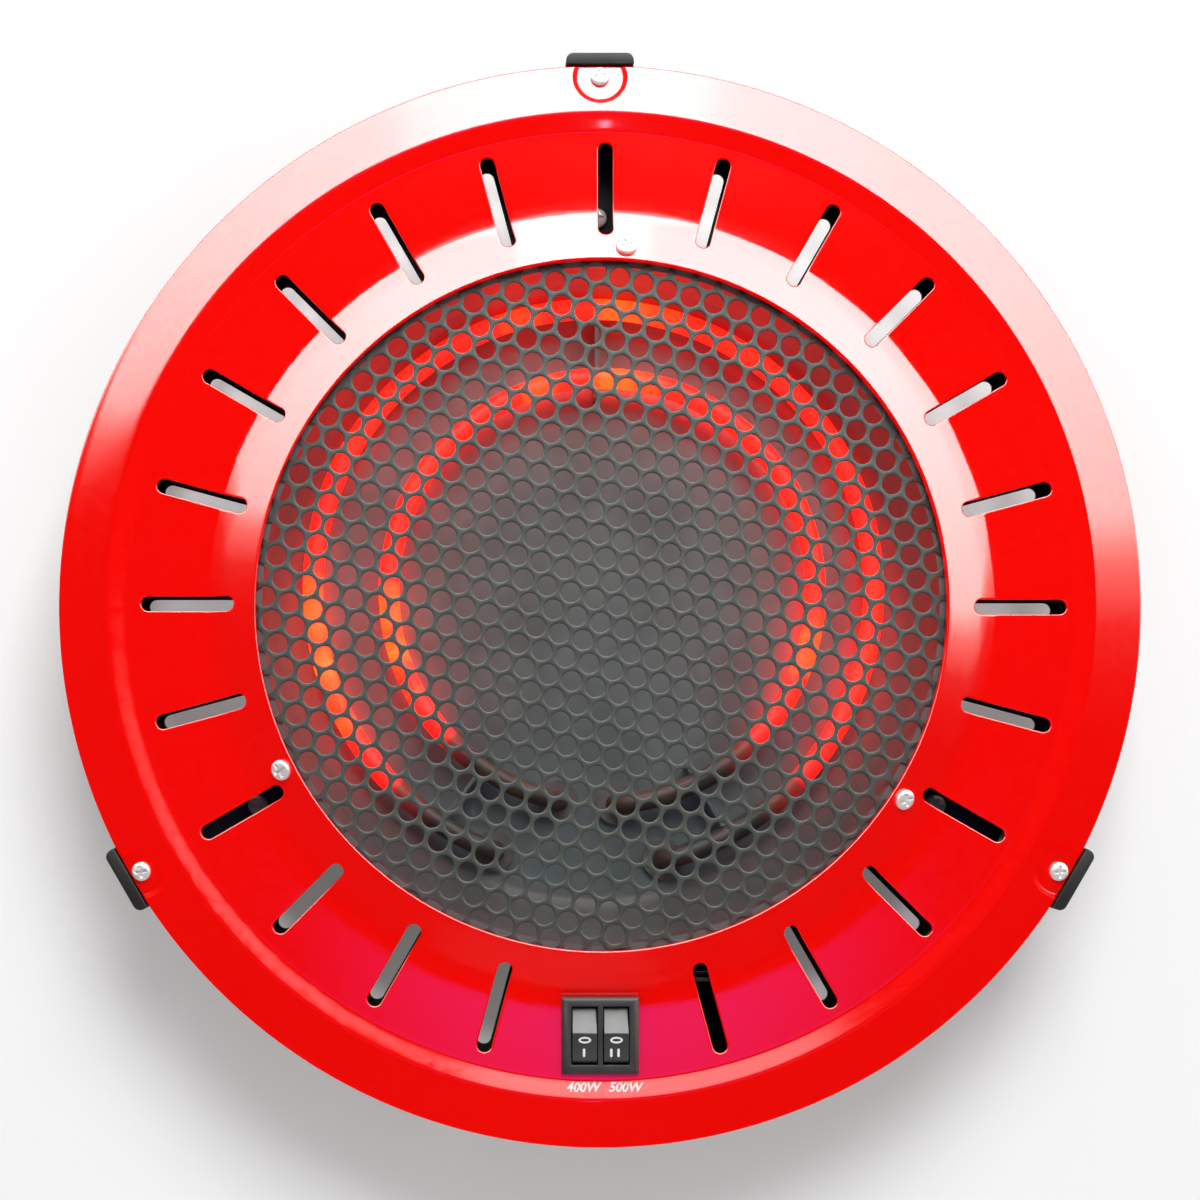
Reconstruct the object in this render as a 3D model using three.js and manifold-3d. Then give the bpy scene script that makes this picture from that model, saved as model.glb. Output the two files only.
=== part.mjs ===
// Electric brazier: a round floor heater with a red enamelled plate, a perforated grille,
// two sheathed heating rings over a reflector, a slotted pan, three legs and a twin switch.
// Millimetres, +Z up. The origin is on the floor, on the axis of the plate. The switch is at -Y.

import * as THREE from 'three';
import { mergeVertices } from 'three/addons/utils/BufferGeometryUtils.js';
import Module from 'manifold-3d';

const wasm = await Module();
wasm.setup();

// Fits
const GAP = 0.3;
const CUT_OVERRUN = 6;
const SCREW_CLEARANCE = 0.3;

// Top plate
const RIM_RADIUS = 220;
const RIM_HEIGHT = 86;
const LIP_WIDTH = 18;
const LIP_RISE = 4;
const SHOULDER_WIDTH = 10;
const SHOULDER_DROP = 3.6;
const TROUGH_WIDTH = 34;
const TROUGH_FALL = 0.9;
const COLLAR_WIDTH = 19;
const OPENING_RISE = 9.5;
const OPENING_ROLL = 2.4;
const PLATE_THICKNESS = 1.2;
const RIM_HEM = 3.6;
const CREASE_RADIUS = RIM_RADIUS - LIP_WIDTH;
const SHOULDER_RADIUS = CREASE_RADIUS - SHOULDER_WIDTH;
const TROUGH_RADIUS = SHOULDER_RADIUS - TROUGH_WIDTH;
const OPENING_RADIUS = TROUGH_RADIUS - COLLAR_WIDTH;

// Air slots, shared by the plate and the pan
const SLOT_POSITIONS = 24;
const SLOT_WIDTH = 6;
const SLOT_INNER_MARGIN = 6.5;
const SLOT_OUTER_MARGIN = 3.5;
const SLOT_INNER_RADIUS = TROUGH_RADIUS - SLOT_INNER_MARGIN;
const SLOT_OUTER_RADIUS = SHOULDER_RADIUS - SLOT_OUTER_MARGIN;

// Lower pan
const PAN_THICKNESS = 1.2;
const PAN_SLOT_DEPTH = 21;
const PAN_FLOOR_SHARE = 0.186;
const PAN_FLOOR_HEIGHT = RIM_HEIGHT * PAN_FLOOR_SHARE;
const PAN_CORNER = 12;
const PAN_CORNER_ANGLE = 68;
const PAN_WALL_LEAN = 14;
const PAN_LIP_BEND = 2.5;
const PAN_BOWL_MARGIN = 3.5;
const PAN_RIM_MARGIN = 0.5;
const PAN_BOWL_RADIUS = SLOT_INNER_RADIUS - PAN_BOWL_MARGIN;
const PAN_FLOOR_RADIUS = PAN_BOWL_RADIUS - PAN_CORNER - PAN_WALL_LEAN;
const PAN_SHELF_RADIUS = SHOULDER_RADIUS + PAN_RIM_MARGIN;
const PAN_MOUTH_RADIUS = CREASE_RADIUS - PAN_RIM_MARGIN;

// Grille
const GRILLE_THICKNESS = 1;
const GRILLE_CROWN = 4.5;
const GRILLE_EDGE_OVERLAP = 2.6;
const GRILLE_HOLE = 19;
const GRILLE_PITCH = 26;
const GRILLE_PATTERN_ANGLE = -15;
const GRILLE_BORDER = 1.6;
const CROWN_SHARES = [0.4, 0.75];

// Reflector
const REFLECTOR_THICKNESS = 0.8;
const REFLECTOR_DEPTH_SHARE = 0.465;
const REFLECTOR_DEPTH = RIM_HEIGHT * REFLECTOR_DEPTH_SHARE;
const REFLECTOR_WALL_MARGIN = 2;
const REFLECTOR_WALL_LEAN = 18;
const REFLECTOR_FLANGE_MARGIN = 1;
const REFLECTOR_WALL_RADIUS = OPENING_RADIUS - REFLECTOR_WALL_MARGIN;
const REFLECTOR_FLOOR_RADIUS = REFLECTOR_WALL_RADIUS - REFLECTOR_WALL_LEAN;
const REFLECTOR_FLANGE_RADIUS = SLOT_INNER_RADIUS - REFLECTOR_FLANGE_MARGIN;

// Heating rings
const TUBE_DIAMETER = 8.5;
const RING_BEND_RADIUS = 9;
const RING_LIFT = 13.6;
const RING_LEG_DROP = 12.4;
const RING_INSET = 22;
const RING_SPACING = 28;
const OUTER_RING_RADIUS = OPENING_RADIUS - RING_INSET;
const INNER_RING_RADIUS = OUTER_RING_RADIUS - RING_SPACING;
const INNER_RING = { radius: INNER_RING_RADIUS, x: 2.4, y: 7.7, leftReach: 18, rightReach: 6.75 };
const OUTER_RING = { radius: OUTER_RING_RADIUS, x: -1.3, y: 8.6, leftReach: 41.3, rightReach: 30.2 };

// Bushings, terminals and holders of the rings
const BUSHING_WALL = 2.2;
const BUSHING_COLLAR = 2;
const BUSHING_COLLAR_HEIGHT = 2.6;
const BUSHING_DROP = 5;
const TERMINAL_WIDTH = 6.3;
const TERMINAL_THICKNESS = 0.8;
const TERMINAL_LENGTH = 8;
const HOLDER_THICKNESS = 1.5;
const HOLDER_MARGIN = 8;
const HOLDER_GRIP = 1.5;
const HOLDER_END_ANGLE = 11;

// Legs and straps, at clock bearings in degrees from the rear
const LEG_COUNT = 3;
const LEG_STEP_ANGLE = 360 / LEG_COUNT;
const LEG_ANGLES = { rear: 0, right: LEG_STEP_ANGLE, left: 2 * LEG_STEP_ANGLE };
const LEG_WIDTH = 27.6;
const LEG_PROUD = 5;
const LEG_CORNER = 3;
const LEG_INSET = 15;
const LEG_SHELF_LENGTH = 10;
const LEG_FOOT_TAPER = 4;
const LEG_FOOT_LENGTH = 14;
const LEG_OUTER_RADIUS = RIM_RADIUS + LEG_PROUD;
const LEG_INNER_RADIUS = RIM_RADIUS - LEG_INSET;
const LEG_SHELF_RADIUS = LEG_INNER_RADIUS - LEG_SHELF_LENGTH;
const LEG_FOOT_OUTER_RADIUS = LEG_OUTER_RADIUS - LEG_FOOT_TAPER;
const LEG_FOOT_INNER_RADIUS = LEG_FOOT_OUTER_RADIUS - LEG_FOOT_LENGTH;
const LEG_SHOULDER_HEIGHT = 46;
const LEG_TIP_ABOVE_RIM = 0.6;
const STRAP_WIDTH = 18;
const STRAP_THICKNESS = 2.5;
const STRAP_MARGIN = 1.5;
const PAN_BOLT_INSET = 10;
const STRAP_SCREW_INSET = 5;
const STRAP_INNER_RADIUS = SLOT_INNER_RADIUS + STRAP_MARGIN;
const PAN_BOLT_RADIUS = STRAP_INNER_RADIUS + PAN_BOLT_INSET;
const STRAP_SCREW_RADIUS = LEG_INNER_RADIUS - STRAP_SCREW_INSET;

// Screw seats pressed into the lip
const SEAT_RADIUS = 10.8;
const SEAT_INSET = 5;
const SEAT_CENTRE_RADIUS = RIM_RADIUS - SEAT_INSET;

// Screws
const LEG_SCREW = { shank: 3.5, head: 7.6, headHeight: 2.2, length: 14 };
const GRILLE_SCREW = { shank: 3.5, head: 8.3, headHeight: 2.2, length: 6 };
const STRAP_SCREW = { shank: 3.5, head: 7.6, headHeight: 2.2, length: 12 };
const PAN_BOLT = { shank: 4, head: 8.3, headHeight: 3, length: 8 };
const BOX_SCREW = { shank: 3, head: 6, headHeight: 1.8, length: 6 };
const EARTH_SCREW = { shank: 3, head: 7, headHeight: 2.2, length: 4 };
const GRILLE_SCREW_MARGIN = 7;
const GRILLE_SCREW_RADIUS = OPENING_RADIUS + GRILLE_SCREW_MARGIN;
const GRILLE_SCREW_ANGLES = { rear: 4, right: 123, left: 243 };
const CROSS_WIDTH = 1.1;
const CROSS_SPAN_SHARE = 0.62;
const CROSS_DEPTH_SHARE = 0.55;
const SCREW_EDGE_SHARE = 0.45;
const SCREW_TOP_SHARE = 0.7;

// Twin switch
const SWITCH_INSET = 18;
const SWITCH_RADIUS = SHOULDER_RADIUS - SWITCH_INSET;
const BEZEL_WIDTH = 31.3;
const BEZEL_LENGTH = 31.5;
const BEZEL_HEIGHT = 2.4;
const BEZEL_CORNER = 1.2;
const SWITCH_BODY_WIDTH = 27;
const SWITCH_BODY_LENGTH = 28.4;
const SWITCH_BODY_DEPTH = 22;
const SWITCH_FLOOR = 2;
const ROCKER_WIDTH = 9.9;
const ROCKER_REACH = 11.5;
const ROCKER_RIDGE = 7;
const ROCKER_END_HEIGHT = 4;
const ROCKER_DISH = 0.4;
const ROCKER_SKIRT = 4.4;
const ROCKER_TRAVEL = 20;
const ROCKER_PIVOT_DROP = 5.2;
const ROCKER_GAP = 0.45;
const ROCKER_DIVIDER = 2;
const PIN_RADIUS = 1.4;
const PIN_ENGAGEMENT = 0.5;
const PLUNGER_WIDTH = 3;
const PLUNGER_REACH = 12;
const CONTACT_LENGTH = 15;
const CONTACT_WIDTH = 4;
const CONTACT_THICKNESS = 0.8;
const CONTACT_TRAVEL = 9;
const CONTACT_DROP = 13;
const TAB_WIDTH = 4.8;
const TAB_THICKNESS = 0.8;
const TAB_DROP = 8;
const TAB_RISER = 3;
const CONTACT_TAB_OFFSET = 5.4;

// Wiring box
const BOX_LEFT = -27;
const BOX_RIGHT = 57;
const BOX_REAR_REACH = 23;
const BOX_FRONT_REACH = 17;
const BOX_INNER_RADIUS = SWITCH_RADIUS - BOX_REAR_REACH;
const BOX_OUTER_RADIUS = SWITCH_RADIUS + BOX_FRONT_REACH;
const BOX_WIRE_ROOM = 18.7;
const BOX_WALL = 1.6;
const BOX_EAR = 8;
const BOX_EAR_LENGTH = 14;
const BOX_EAR_THICKNESS = 2;
const WIRE_WINDOW_WIDTH = 22;
const WIRE_WINDOW_HEIGHT = 11;
const GLAND_X = 40;
const GLAND_RADIUS = 6;
const GLAND_NUT_RADIUS = 9;
const GLAND_BORE_RADIUS = 3.6;
const GLAND_LENGTH = 14;
const GLAND_NUT_LENGTH = 5;
const BLOCK_SIZE = { x: 18, y: 11, z: 9 };
const BLOCK_X = 40;
const CUTOUT_RADIUS = 8;
const CUTOUT_HEIGHT = 6;
const CUTOUT_INSET = 31;
const CUTOUT_Y = CUTOUT_INSET - INNER_RING_RADIUS;
const EARTH_SCREW_X = 10;
const EARTH_SCREW_INSET = 10;
const EARTH_SCREW_Y = EARTH_SCREW_INSET - PAN_FLOOR_RADIUS;
const WIRE_DIAMETER = 2.6;

// Facets
const PLATE_SEGMENTS = 48;
const BOWL_STEPS = 5;
const TUBE_SIDES = 8;
const RING_STEPS = 34;
const BEND_STEPS = 3;
const ROLL_STEPS = 2;
const SEAT_SEGMENTS = 18;
const ROUND_SEGMENTS = 12;
const SLOT_END_STEPS = 3;
const CORNER_STEPS = 3;
const HEX_SIDES = 6;
const SCREW_SEGMENTS = 10;
const WIRE_STEPS = 14;

const FINISHES = {
  enamel: { color: 0xf50a08, roughness: 0.15, metalness: 0 },
  grille: { color: 0x565a57, roughness: 0.45, metalness: 0.6 },
  bright: { color: 0xb9bcbc, roughness: 0.25, metalness: 1 },
  blackSteel: { color: 0x141414, roughness: 0.5, metalness: 0.3 },
  plastic: { color: 0x2b2b2b, roughness: 0.5, metalness: 0 },
  rocker: { color: 0x3a3c3c, roughness: 0.4, metalness: 0 },
  zinc: { color: 0xd8d8d6, roughness: 0.3, metalness: 1 },
  sheath: { color: 0xe23a12, roughness: 0.5, metalness: 0.2 },
  ceramic: { color: 0xe8e2d2, roughness: 0.6, metalness: 0 },
  brass: { color: 0xc9a44c, roughness: 0.35, metalness: 1 },
  silicone: { color: 0xc9c4bb, roughness: 0.7, metalness: 0 },
};

const group = new THREE.Group();

// Heights worked out from the plate
const CREASE_HEIGHT = RIM_HEIGHT + LIP_RISE;
const SHOULDER_HEIGHT = CREASE_HEIGHT - SHOULDER_DROP;
const TROUGH_HEIGHT = SHOULDER_HEIGHT - TROUGH_FALL;
const OPENING_HEIGHT = TROUGH_HEIGHT + OPENING_RISE;
const PAN_SHELF_HEIGHT = TROUGH_HEIGHT - PAN_SLOT_DEPTH;
const OPENING_EDGE_HEIGHT = OPENING_HEIGHT - OPENING_ROLL - PLATE_THICKNESS / 2;
const GRILLE_TOP = OPENING_EDGE_HEIGHT - GAP;
const GRILLE_RADIUS = OPENING_RADIUS + GRILLE_EDGE_OVERLAP;
const REFLECTOR_RIM_HEIGHT = GRILLE_TOP - GRILLE_THICKNESS - GAP;
const REFLECTOR_FLOOR_HEIGHT = REFLECTOR_RIM_HEIGHT - REFLECTOR_DEPTH;
const RING_HEIGHT = REFLECTOR_FLOOR_HEIGHT + RING_LIFT;
const RING_LEG_END_HEIGHT = REFLECTOR_FLOOR_HEIGHT - RING_LEG_DROP;
const CONE_SLOPE = OPENING_RISE / (TROUGH_RADIUS - OPENING_RADIUS - OPENING_ROLL);
const SEAT_TOP = RIM_HEIGHT;

function radians(degrees) {
  return THREE.MathUtils.degToRad(degrees);
}

function bearingPoint(radius, bearing, z = 0) {
  const angle = radians(bearing);
  return new THREE.Vector3(radius * Math.sin(angle), radius * Math.cos(angle), z);
}

function welded(geometry) {
  const bare = geometry.index ? geometry.clone() : mergeVertices(geometry);
  bare.deleteAttribute('normal');
  bare.deleteAttribute('uv');
  return mergeVertices(bare);
}

function toSolid(geometry) {
  const mesh = welded(geometry);
  return new wasm.Manifold(new wasm.Mesh({
    numProp: 3,
    vertProperties: Float32Array.from(mesh.attributes.position.array),
    triVerts: Uint32Array.from(mesh.index.array),
  }));
}

function toGeometry(solid) {
  const mesh = solid.getMesh();
  const geometry = new THREE.BufferGeometry();
  geometry.setAttribute('position', new THREE.BufferAttribute(mesh.vertProperties, mesh.numProp));
  geometry.setIndex(new THREE.BufferAttribute(mesh.triVerts, 1));
  geometry.computeVertexNormals();
  return geometry;
}

function cut(geometry, tools) {
  const body = tools.reduce((left, tool) => left.subtract(toSolid(tool)), toSolid(geometry));
  return toGeometry(body);
}

function join(geometries) {
  const [first, ...rest] = geometries.map(toSolid);
  return toGeometry(rest.reduce((whole, piece) => whole.add(piece), first));
}

function addPiece(name, geometry, finish) {
  const mesh = new THREE.Mesh(geometry, new THREE.MeshStandardMaterial(FINISHES[finish]));
  mesh.name = name;
  group.add(mesh);
  return mesh;
}

function turned(profile, segments = PLATE_SEGMENTS) {
  const points = profile.map(([r, z]) => new THREE.Vector2(r, z));
  return new THREE.LatheGeometry(points, segments).rotateX(Math.PI / 2);
}

// The outline of a sheet whose upper side follows the points, from the inside outwards.
function sheetOutline(points, thickness) {
  const lower = points.map(([r, z], i) => {
    const [r0, z0] = points[Math.max(i - 1, 0)];
    const [r1, z1] = points[Math.min(i + 1, points.length - 1)];
    const before = new THREE.Vector2(r - r0, z - z0);
    const after = new THREE.Vector2(r1 - r, z1 - z);
    const first = before.length() > 0 ? before.normalize() : after.clone().normalize();
    const last = after.length() > 0 ? after.normalize() : first.clone();
    const along = first.clone().add(last).normalize();
    const reach = thickness / Math.max(along.dot(first), Math.SQRT1_2);
    return [r === 0 ? 0 : r + along.y * reach, z - along.x * reach];
  });
  const outline = [...lower, ...points.slice().reverse()];
  return points[0][0] === 0 ? outline : [...outline, outline[0]];
}

function disc(radius, low, high, x = 0, y = 0, segments = ROUND_SEGMENTS) {
  const geometry = new THREE.CylinderGeometry(radius, radius, high - low, segments);
  return geometry.rotateX(Math.PI / 2).translate(x, y, (low + high) / 2);
}

function block(low, high) {
  const [x, y, z] = high.map((value, axis) => value - low[axis]);
  const centre = high.map((value, axis) => (value + low[axis]) / 2);
  return new THREE.BoxGeometry(x, y, z).translate(...centre);
}

// A flat outline in (radius, height), given a width about the bearing's radial plane.
function radialPlate(points, width, bearing) {
  const shape = new THREE.Shape(points.map(([r, z]) => new THREE.Vector2(r, z)));
  const geometry = new THREE.ExtrudeGeometry(shape, { depth: width, bevelEnabled: false });
  geometry.translate(0, 0, -width / 2).rotateX(Math.PI / 2);
  return geometry.rotateZ(radians(90 - bearing));
}

function slotTool(bearing, low, high) {
  const half = SLOT_WIDTH / 2;
  const shape = new THREE.Shape();
  shape.absarc(SLOT_OUTER_RADIUS - half, 0, half, -Math.PI / 2, Math.PI / 2);
  shape.absarc(SLOT_INNER_RADIUS + half, 0, half, Math.PI / 2, 3 * Math.PI / 2);
  shape.closePath();
  const options = { depth: high - low, bevelEnabled: false, curveSegments: SLOT_END_STEPS };
  return new THREE.ExtrudeGeometry(shape, options).translate(0, 0, low).rotateZ(radians(90 - bearing));
}

function slotBearings() {
  const step = 360 / SLOT_POSITIONS;
  const bearings = Array.from({ length: SLOT_POSITIONS }, (_, i) => i * step);
  return bearings.filter((bearing) => bearing !== 180);
}

// Plate

function plateTop(radius) {
  if (radius >= CREASE_RADIUS) {
    return CREASE_HEIGHT - LIP_RISE * (radius - CREASE_RADIUS) / (RIM_RADIUS - CREASE_RADIUS);
  }
  return OPENING_HEIGHT - CONE_SLOPE * (radius - OPENING_RADIUS - OPENING_ROLL);
}

function plateProfile() {
  const roll = OPENING_ROLL;
  const rollPoints = Array.from({ length: ROLL_STEPS + 1 }, (_, i) => {
    const angle = Math.PI - (Math.PI / 2) * i / ROLL_STEPS;
    return [
      OPENING_RADIUS + roll + roll * Math.cos(angle),
      OPENING_HEIGHT - roll + roll * Math.sin(angle),
    ];
  });
  return [
    [OPENING_RADIUS, OPENING_EDGE_HEIGHT],
    ...rollPoints,
    [TROUGH_RADIUS, TROUGH_HEIGHT],
    [SHOULDER_RADIUS, SHOULDER_HEIGHT],
    [CREASE_RADIUS, CREASE_HEIGHT],
    [RIM_RADIUS - PLATE_THICKNESS / 2, RIM_HEIGHT],
    [RIM_RADIUS, RIM_HEIGHT - PLATE_THICKNESS / 2],
    [RIM_RADIUS, RIM_HEIGHT - RIM_HEM],
  ];
}

// The space under the lip, which limits the walls of the screw seats.
function lipSpace() {
  return turned([
    [CREASE_RADIUS, 0],
    [RIM_RADIUS, 0],
    [RIM_RADIUS, RIM_HEIGHT],
    [CREASE_RADIUS, CREASE_HEIGHT],
    [CREASE_RADIUS, 0],
  ]);
}

function makePlate() {
  const low = PAN_SHELF_HEIGHT;
  const high = OPENING_HEIGHT + CUT_OVERRUN;
  const cupRadius = SEAT_RADIUS + PLATE_THICKNESS;
  const underLip = toSolid(lipSpace());
  let plate = toSolid(turned(sheetOutline(plateProfile(), PLATE_THICKNESS)));
  for (const bearing of Object.values(LEG_ANGLES)) {
    const { x, y } = bearingPoint(SEAT_CENTRE_RADIUS, bearing);
    const cup = disc(cupRadius, SEAT_TOP - PLATE_THICKNESS, CREASE_HEIGHT, x, y, SEAT_SEGMENTS);
    plate = plate.add(toSolid(cup).intersect(underLip));
    plate = plate.subtract(toSolid(disc(SEAT_RADIUS, SEAT_TOP, high, x, y, SEAT_SEGMENTS)));
    plate = plate.subtract(toSolid(disc(LEG_SCREW.shank / 2 + SCREW_CLEARANCE, low, high, x, y)));
  }
  const screws = Object.values(GRILLE_SCREW_ANGLES).map((bearing) => grilleScrewTool(bearing));
  const slots = slotBearings().map((bearing) => slotTool(bearing, low, high));
  const halfX = SWITCH_BODY_WIDTH / 2 + GAP;
  const halfY = SWITCH_BODY_LENGTH / 2 + GAP;
  const window = block([-halfX, -SWITCH_RADIUS - halfY, low], [halfX, -SWITCH_RADIUS + halfY, high]);
  return cut(toGeometry(plate), [...screws, ...slots, window]);
}

// Grille: a perforated disc with a slight crown, its edge flat under the rolled opening.

function grilleHoles() {
  const reach = OPENING_RADIUS - GRILLE_BORDER - GRILLE_HOLE / 2;
  const rows = Math.ceil(reach / GRILLE_PITCH) + 1;
  const turn = radians(GRILLE_PATTERN_ANGLE);
  const centres = [];
  for (let row = -rows; row <= rows; row += 1) {
    for (let column = -2 * rows; column <= 2 * rows; column += 1) {
      const across = (column + row / 2) * GRILLE_PITCH;
      const along = row * GRILLE_PITCH * Math.sin(Math.PI / 3);
      const centre = new THREE.Vector2(across, along).rotateAround(new THREE.Vector2(), turn);
      if (centre.length() <= reach) {
        centres.push(centre);
      }
    }
  }
  return centres;
}

function polygon(sides, radius, centre = new THREE.Vector2(), turn = 0) {
  return Array.from({ length: sides }, (_, i) => {
    const angle = turn + i * 2 * Math.PI / sides;
    return new THREE.Vector2(Math.cos(angle), Math.sin(angle)).multiplyScalar(radius).add(centre);
  });
}

function grilleTop(radius) {
  const share = Math.min(radius / (OPENING_RADIUS - GRILLE_BORDER), 1);
  return GRILLE_TOP + GRILLE_CROWN * (1 - share * share);
}

function makeGrille() {
  const field = OPENING_RADIUS - GRILLE_BORDER;
  const rings = CROWN_SHARES.map((share) => [share * field, grilleTop(share * field)]);
  const profile = [[0, rings[0][1]], ...rings, [field, GRILLE_TOP], [GRILLE_RADIUS, GRILLE_TOP]];
  const low = GRILLE_TOP - GRILLE_THICKNESS - CUT_OVERRUN;
  const depth = GRILLE_CROWN + 2 * CUT_OVERRUN;
  const turn = radians(GRILLE_PATTERN_ANGLE);
  const holes = grilleHoles().map((centre) => {
    const shape = new THREE.Shape(polygon(HEX_SIDES, GRILLE_HOLE / 2, centre, turn));
    return new THREE.ExtrudeGeometry(shape, { depth, bevelEnabled: false }).translate(0, 0, low);
  });
  return cut(turned(sheetOutline(profile, GRILLE_THICKNESS)), holes);
}

// Reflector: a dish with a steep side, a rabbet for the grille's edge and a conical flange.

function dishPoints() {
  const width = REFLECTOR_WALL_RADIUS - REFLECTOR_FLOOR_RADIUS;
  return Array.from({ length: BOWL_STEPS + 1 }, (_, i) => {
    const angle = (Math.PI / 2) * i / BOWL_STEPS;
    return [
      REFLECTOR_FLOOR_RADIUS + width * Math.sin(angle),
      REFLECTOR_RIM_HEIGHT - REFLECTOR_DEPTH * Math.cos(angle),
    ];
  });
}

function flangeTop(radius) {
  const sheet = PLATE_THICKNESS * Math.hypot(1, CONE_SLOPE);
  return plateTop(radius) - sheet - GAP;
}

function reflectorProfile() {
  const rabbet = GRILLE_RADIUS + GAP;
  return [
    [0, REFLECTOR_FLOOR_HEIGHT],
    ...dishPoints(),
    [rabbet, REFLECTOR_RIM_HEIGHT],
    [rabbet + GAP, flangeTop(rabbet + GAP)],
    [REFLECTOR_FLANGE_RADIUS, flangeTop(REFLECTOR_FLANGE_RADIUS)],
  ];
}

function makeReflector() {
  const low = REFLECTOR_FLOOR_HEIGHT - CUT_OVERRUN;
  const high = REFLECTOR_FLOOR_HEIGHT + CUT_OVERRUN;
  const holes = ringLegs().map(({ x, y }) => disc(BUSHING_RADIUS + GAP, low, high, x, y));
  const screws = Object.values(GRILLE_SCREW_ANGLES).map((bearing) => grilleScrewTool(bearing));
  return cut(turned(sheetOutline(reflectorProfile(), REFLECTOR_THICKNESS)), [...holes, ...screws]);
}

// Heating rings: a level arc whose ends turn down through the reflector.

class Route extends THREE.Curve {
  constructor(points) {
    super();
    this.points = points;
  }

  getPointAt(share) {
    const place = share * (this.points.length - 1);
    const i = Math.min(Math.floor(place), this.points.length - 2);
    return this.points[i].clone().lerp(this.points[i + 1], place - i);
  }

  getTangentAt(share) {
    const i = Math.round(share * (this.points.length - 1));
    const before = this.points[Math.max(i - 1, 0)];
    const after = this.points[Math.min(i + 1, this.points.length - 1)];
    return after.clone().sub(before).normalize();
  }
}

function tube(points, diameter, sides = TUBE_SIDES) {
  const section = new THREE.Shape(polygon(sides, diameter / 2));
  const options = { steps: points.length - 1, extrudePath: new Route(points), bevelEnabled: false };
  return new THREE.ExtrudeGeometry(section, options);
}

function ringPoint(ring, bearing, z = RING_HEIGHT) {
  return bearingPoint(ring.radius, bearing, z).add(new THREE.Vector3(ring.x, ring.y, 0));
}

// The arc stops where a bend of a quarter turn brings the leg down at its reach from the centre.
function ringEnd(ring, side) {
  const reach = side < 0 ? ring.rightReach : ring.leftReach;
  const lean = Math.atan(RING_BEND_RADIUS / ring.radius);
  const opening = lean + Math.asin(reach / Math.hypot(ring.radius, RING_BEND_RADIUS));
  const bearing = 180 + side * THREE.MathUtils.radToDeg(opening);
  const tangent = bearingPoint(1, bearing - side * 90);
  return { bearing, start: ringPoint(ring, bearing), tangent };
}

function bendPoints({ start, tangent }) {
  const turn = Array.from({ length: BEND_STEPS }, (_, i) => {
    const angle = (Math.PI / 2) * (i + 1) / BEND_STEPS;
    const level = start.clone().addScaledVector(tangent, RING_BEND_RADIUS * Math.sin(angle));
    return level.setZ(RING_HEIGHT - RING_BEND_RADIUS * (1 - Math.cos(angle)));
  });
  const foot = turn[turn.length - 1].clone().setZ(RING_LEG_END_HEIGHT);
  return [...turn, foot];
}

function ringPath(ring) {
  const left = ringEnd(ring, 1);
  const right = ringEnd(ring, -1);
  const sweep = right.bearing + 360 - left.bearing;
  const arc = Array.from({ length: RING_STEPS + 1 }, (_, i) => (
    ringPoint(ring, left.bearing + sweep * i / RING_STEPS)
  ));
  return [...bendPoints(left).reverse(), ...arc, ...bendPoints(right)];
}

function ringLegs() {
  return [INNER_RING, OUTER_RING].flatMap((ring) => [1, -1].map((side) => {
    const { start, tangent } = ringEnd(ring, side);
    return start.clone().addScaledVector(tangent, RING_BEND_RADIUS);
  }));
}

const LEG_NAMES = ['inner_left', 'inner_right', 'outer_left', 'outer_right'];
const BUSHING_BORE = TUBE_DIAMETER / 2 + GAP;
const BUSHING_RADIUS = BUSHING_BORE + BUSHING_WALL;

function makeBushing({ x, y }) {
  const collar = REFLECTOR_FLOOR_HEIGHT + GAP;
  const top = collar + BUSHING_COLLAR_HEIGHT;
  const bottom = REFLECTOR_FLOOR_HEIGHT - REFLECTOR_THICKNESS - BUSHING_DROP;
  const outline = [
    [BUSHING_BORE, bottom],
    [BUSHING_RADIUS, bottom],
    [BUSHING_RADIUS, collar],
    [BUSHING_RADIUS + BUSHING_COLLAR, collar],
    [BUSHING_RADIUS + BUSHING_COLLAR, top],
    [BUSHING_BORE, top],
    [BUSHING_BORE, bottom],
  ];
  return turned(outline, ROUND_SEGMENTS).translate(x, y, 0);
}

function makeTerminal({ x, y }) {
  const top = RING_LEG_END_HEIGHT - GAP;
  const halfX = TERMINAL_WIDTH / 2;
  const halfY = TERMINAL_THICKNESS / 2;
  return block([x - halfX, y - halfY, top - TERMINAL_LENGTH], [x + halfX, y + halfY, top]);
}

function ringCrossing(ring, bearing) {
  const ray = bearingPoint(1, bearing);
  const along = ray.x * ring.x + ray.y * ring.y;
  return along + Math.sqrt(ring.radius ** 2 - ring.x ** 2 - ring.y ** 2 + along ** 2);
}

// The side holders stand a few degrees past the ends of the outer ring.
function holderBearings() {
  return {
    rear: 0,
    left: ringEnd(OUTER_RING, 1).bearing + HOLDER_END_ANGLE,
    right: ringEnd(OUTER_RING, -1).bearing - HOLDER_END_ANGLE,
  };
}

function makeHolder(bearing) {
  const inner = ringCrossing(INNER_RING, bearing);
  const outer = ringCrossing(OUTER_RING, bearing);
  const half = TUBE_DIAMETER / 2 + GAP;
  const base = REFLECTOR_FLOOR_HEIGHT + GAP;
  const seat = RING_HEIGHT - half;
  const top = RING_HEIGHT + HOLDER_GRIP;
  const outline = [
    [inner - HOLDER_MARGIN, base],
    [Math.min(REFLECTOR_FLOOR_RADIUS, outer + HOLDER_GRIP), base],
    [outer + HOLDER_GRIP, seat - HOLDER_GRIP],
    [outer + HOLDER_GRIP, seat],
    [outer - half, seat],
    [outer - half, top],
    [inner + half, top],
    [inner + half, seat],
    [inner - half, seat],
    [inner - half, top],
    [inner - HOLDER_MARGIN, top],
  ];
  return radialPlate(outline, HOLDER_THICKNESS, bearing);
}

// Lower pan

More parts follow.
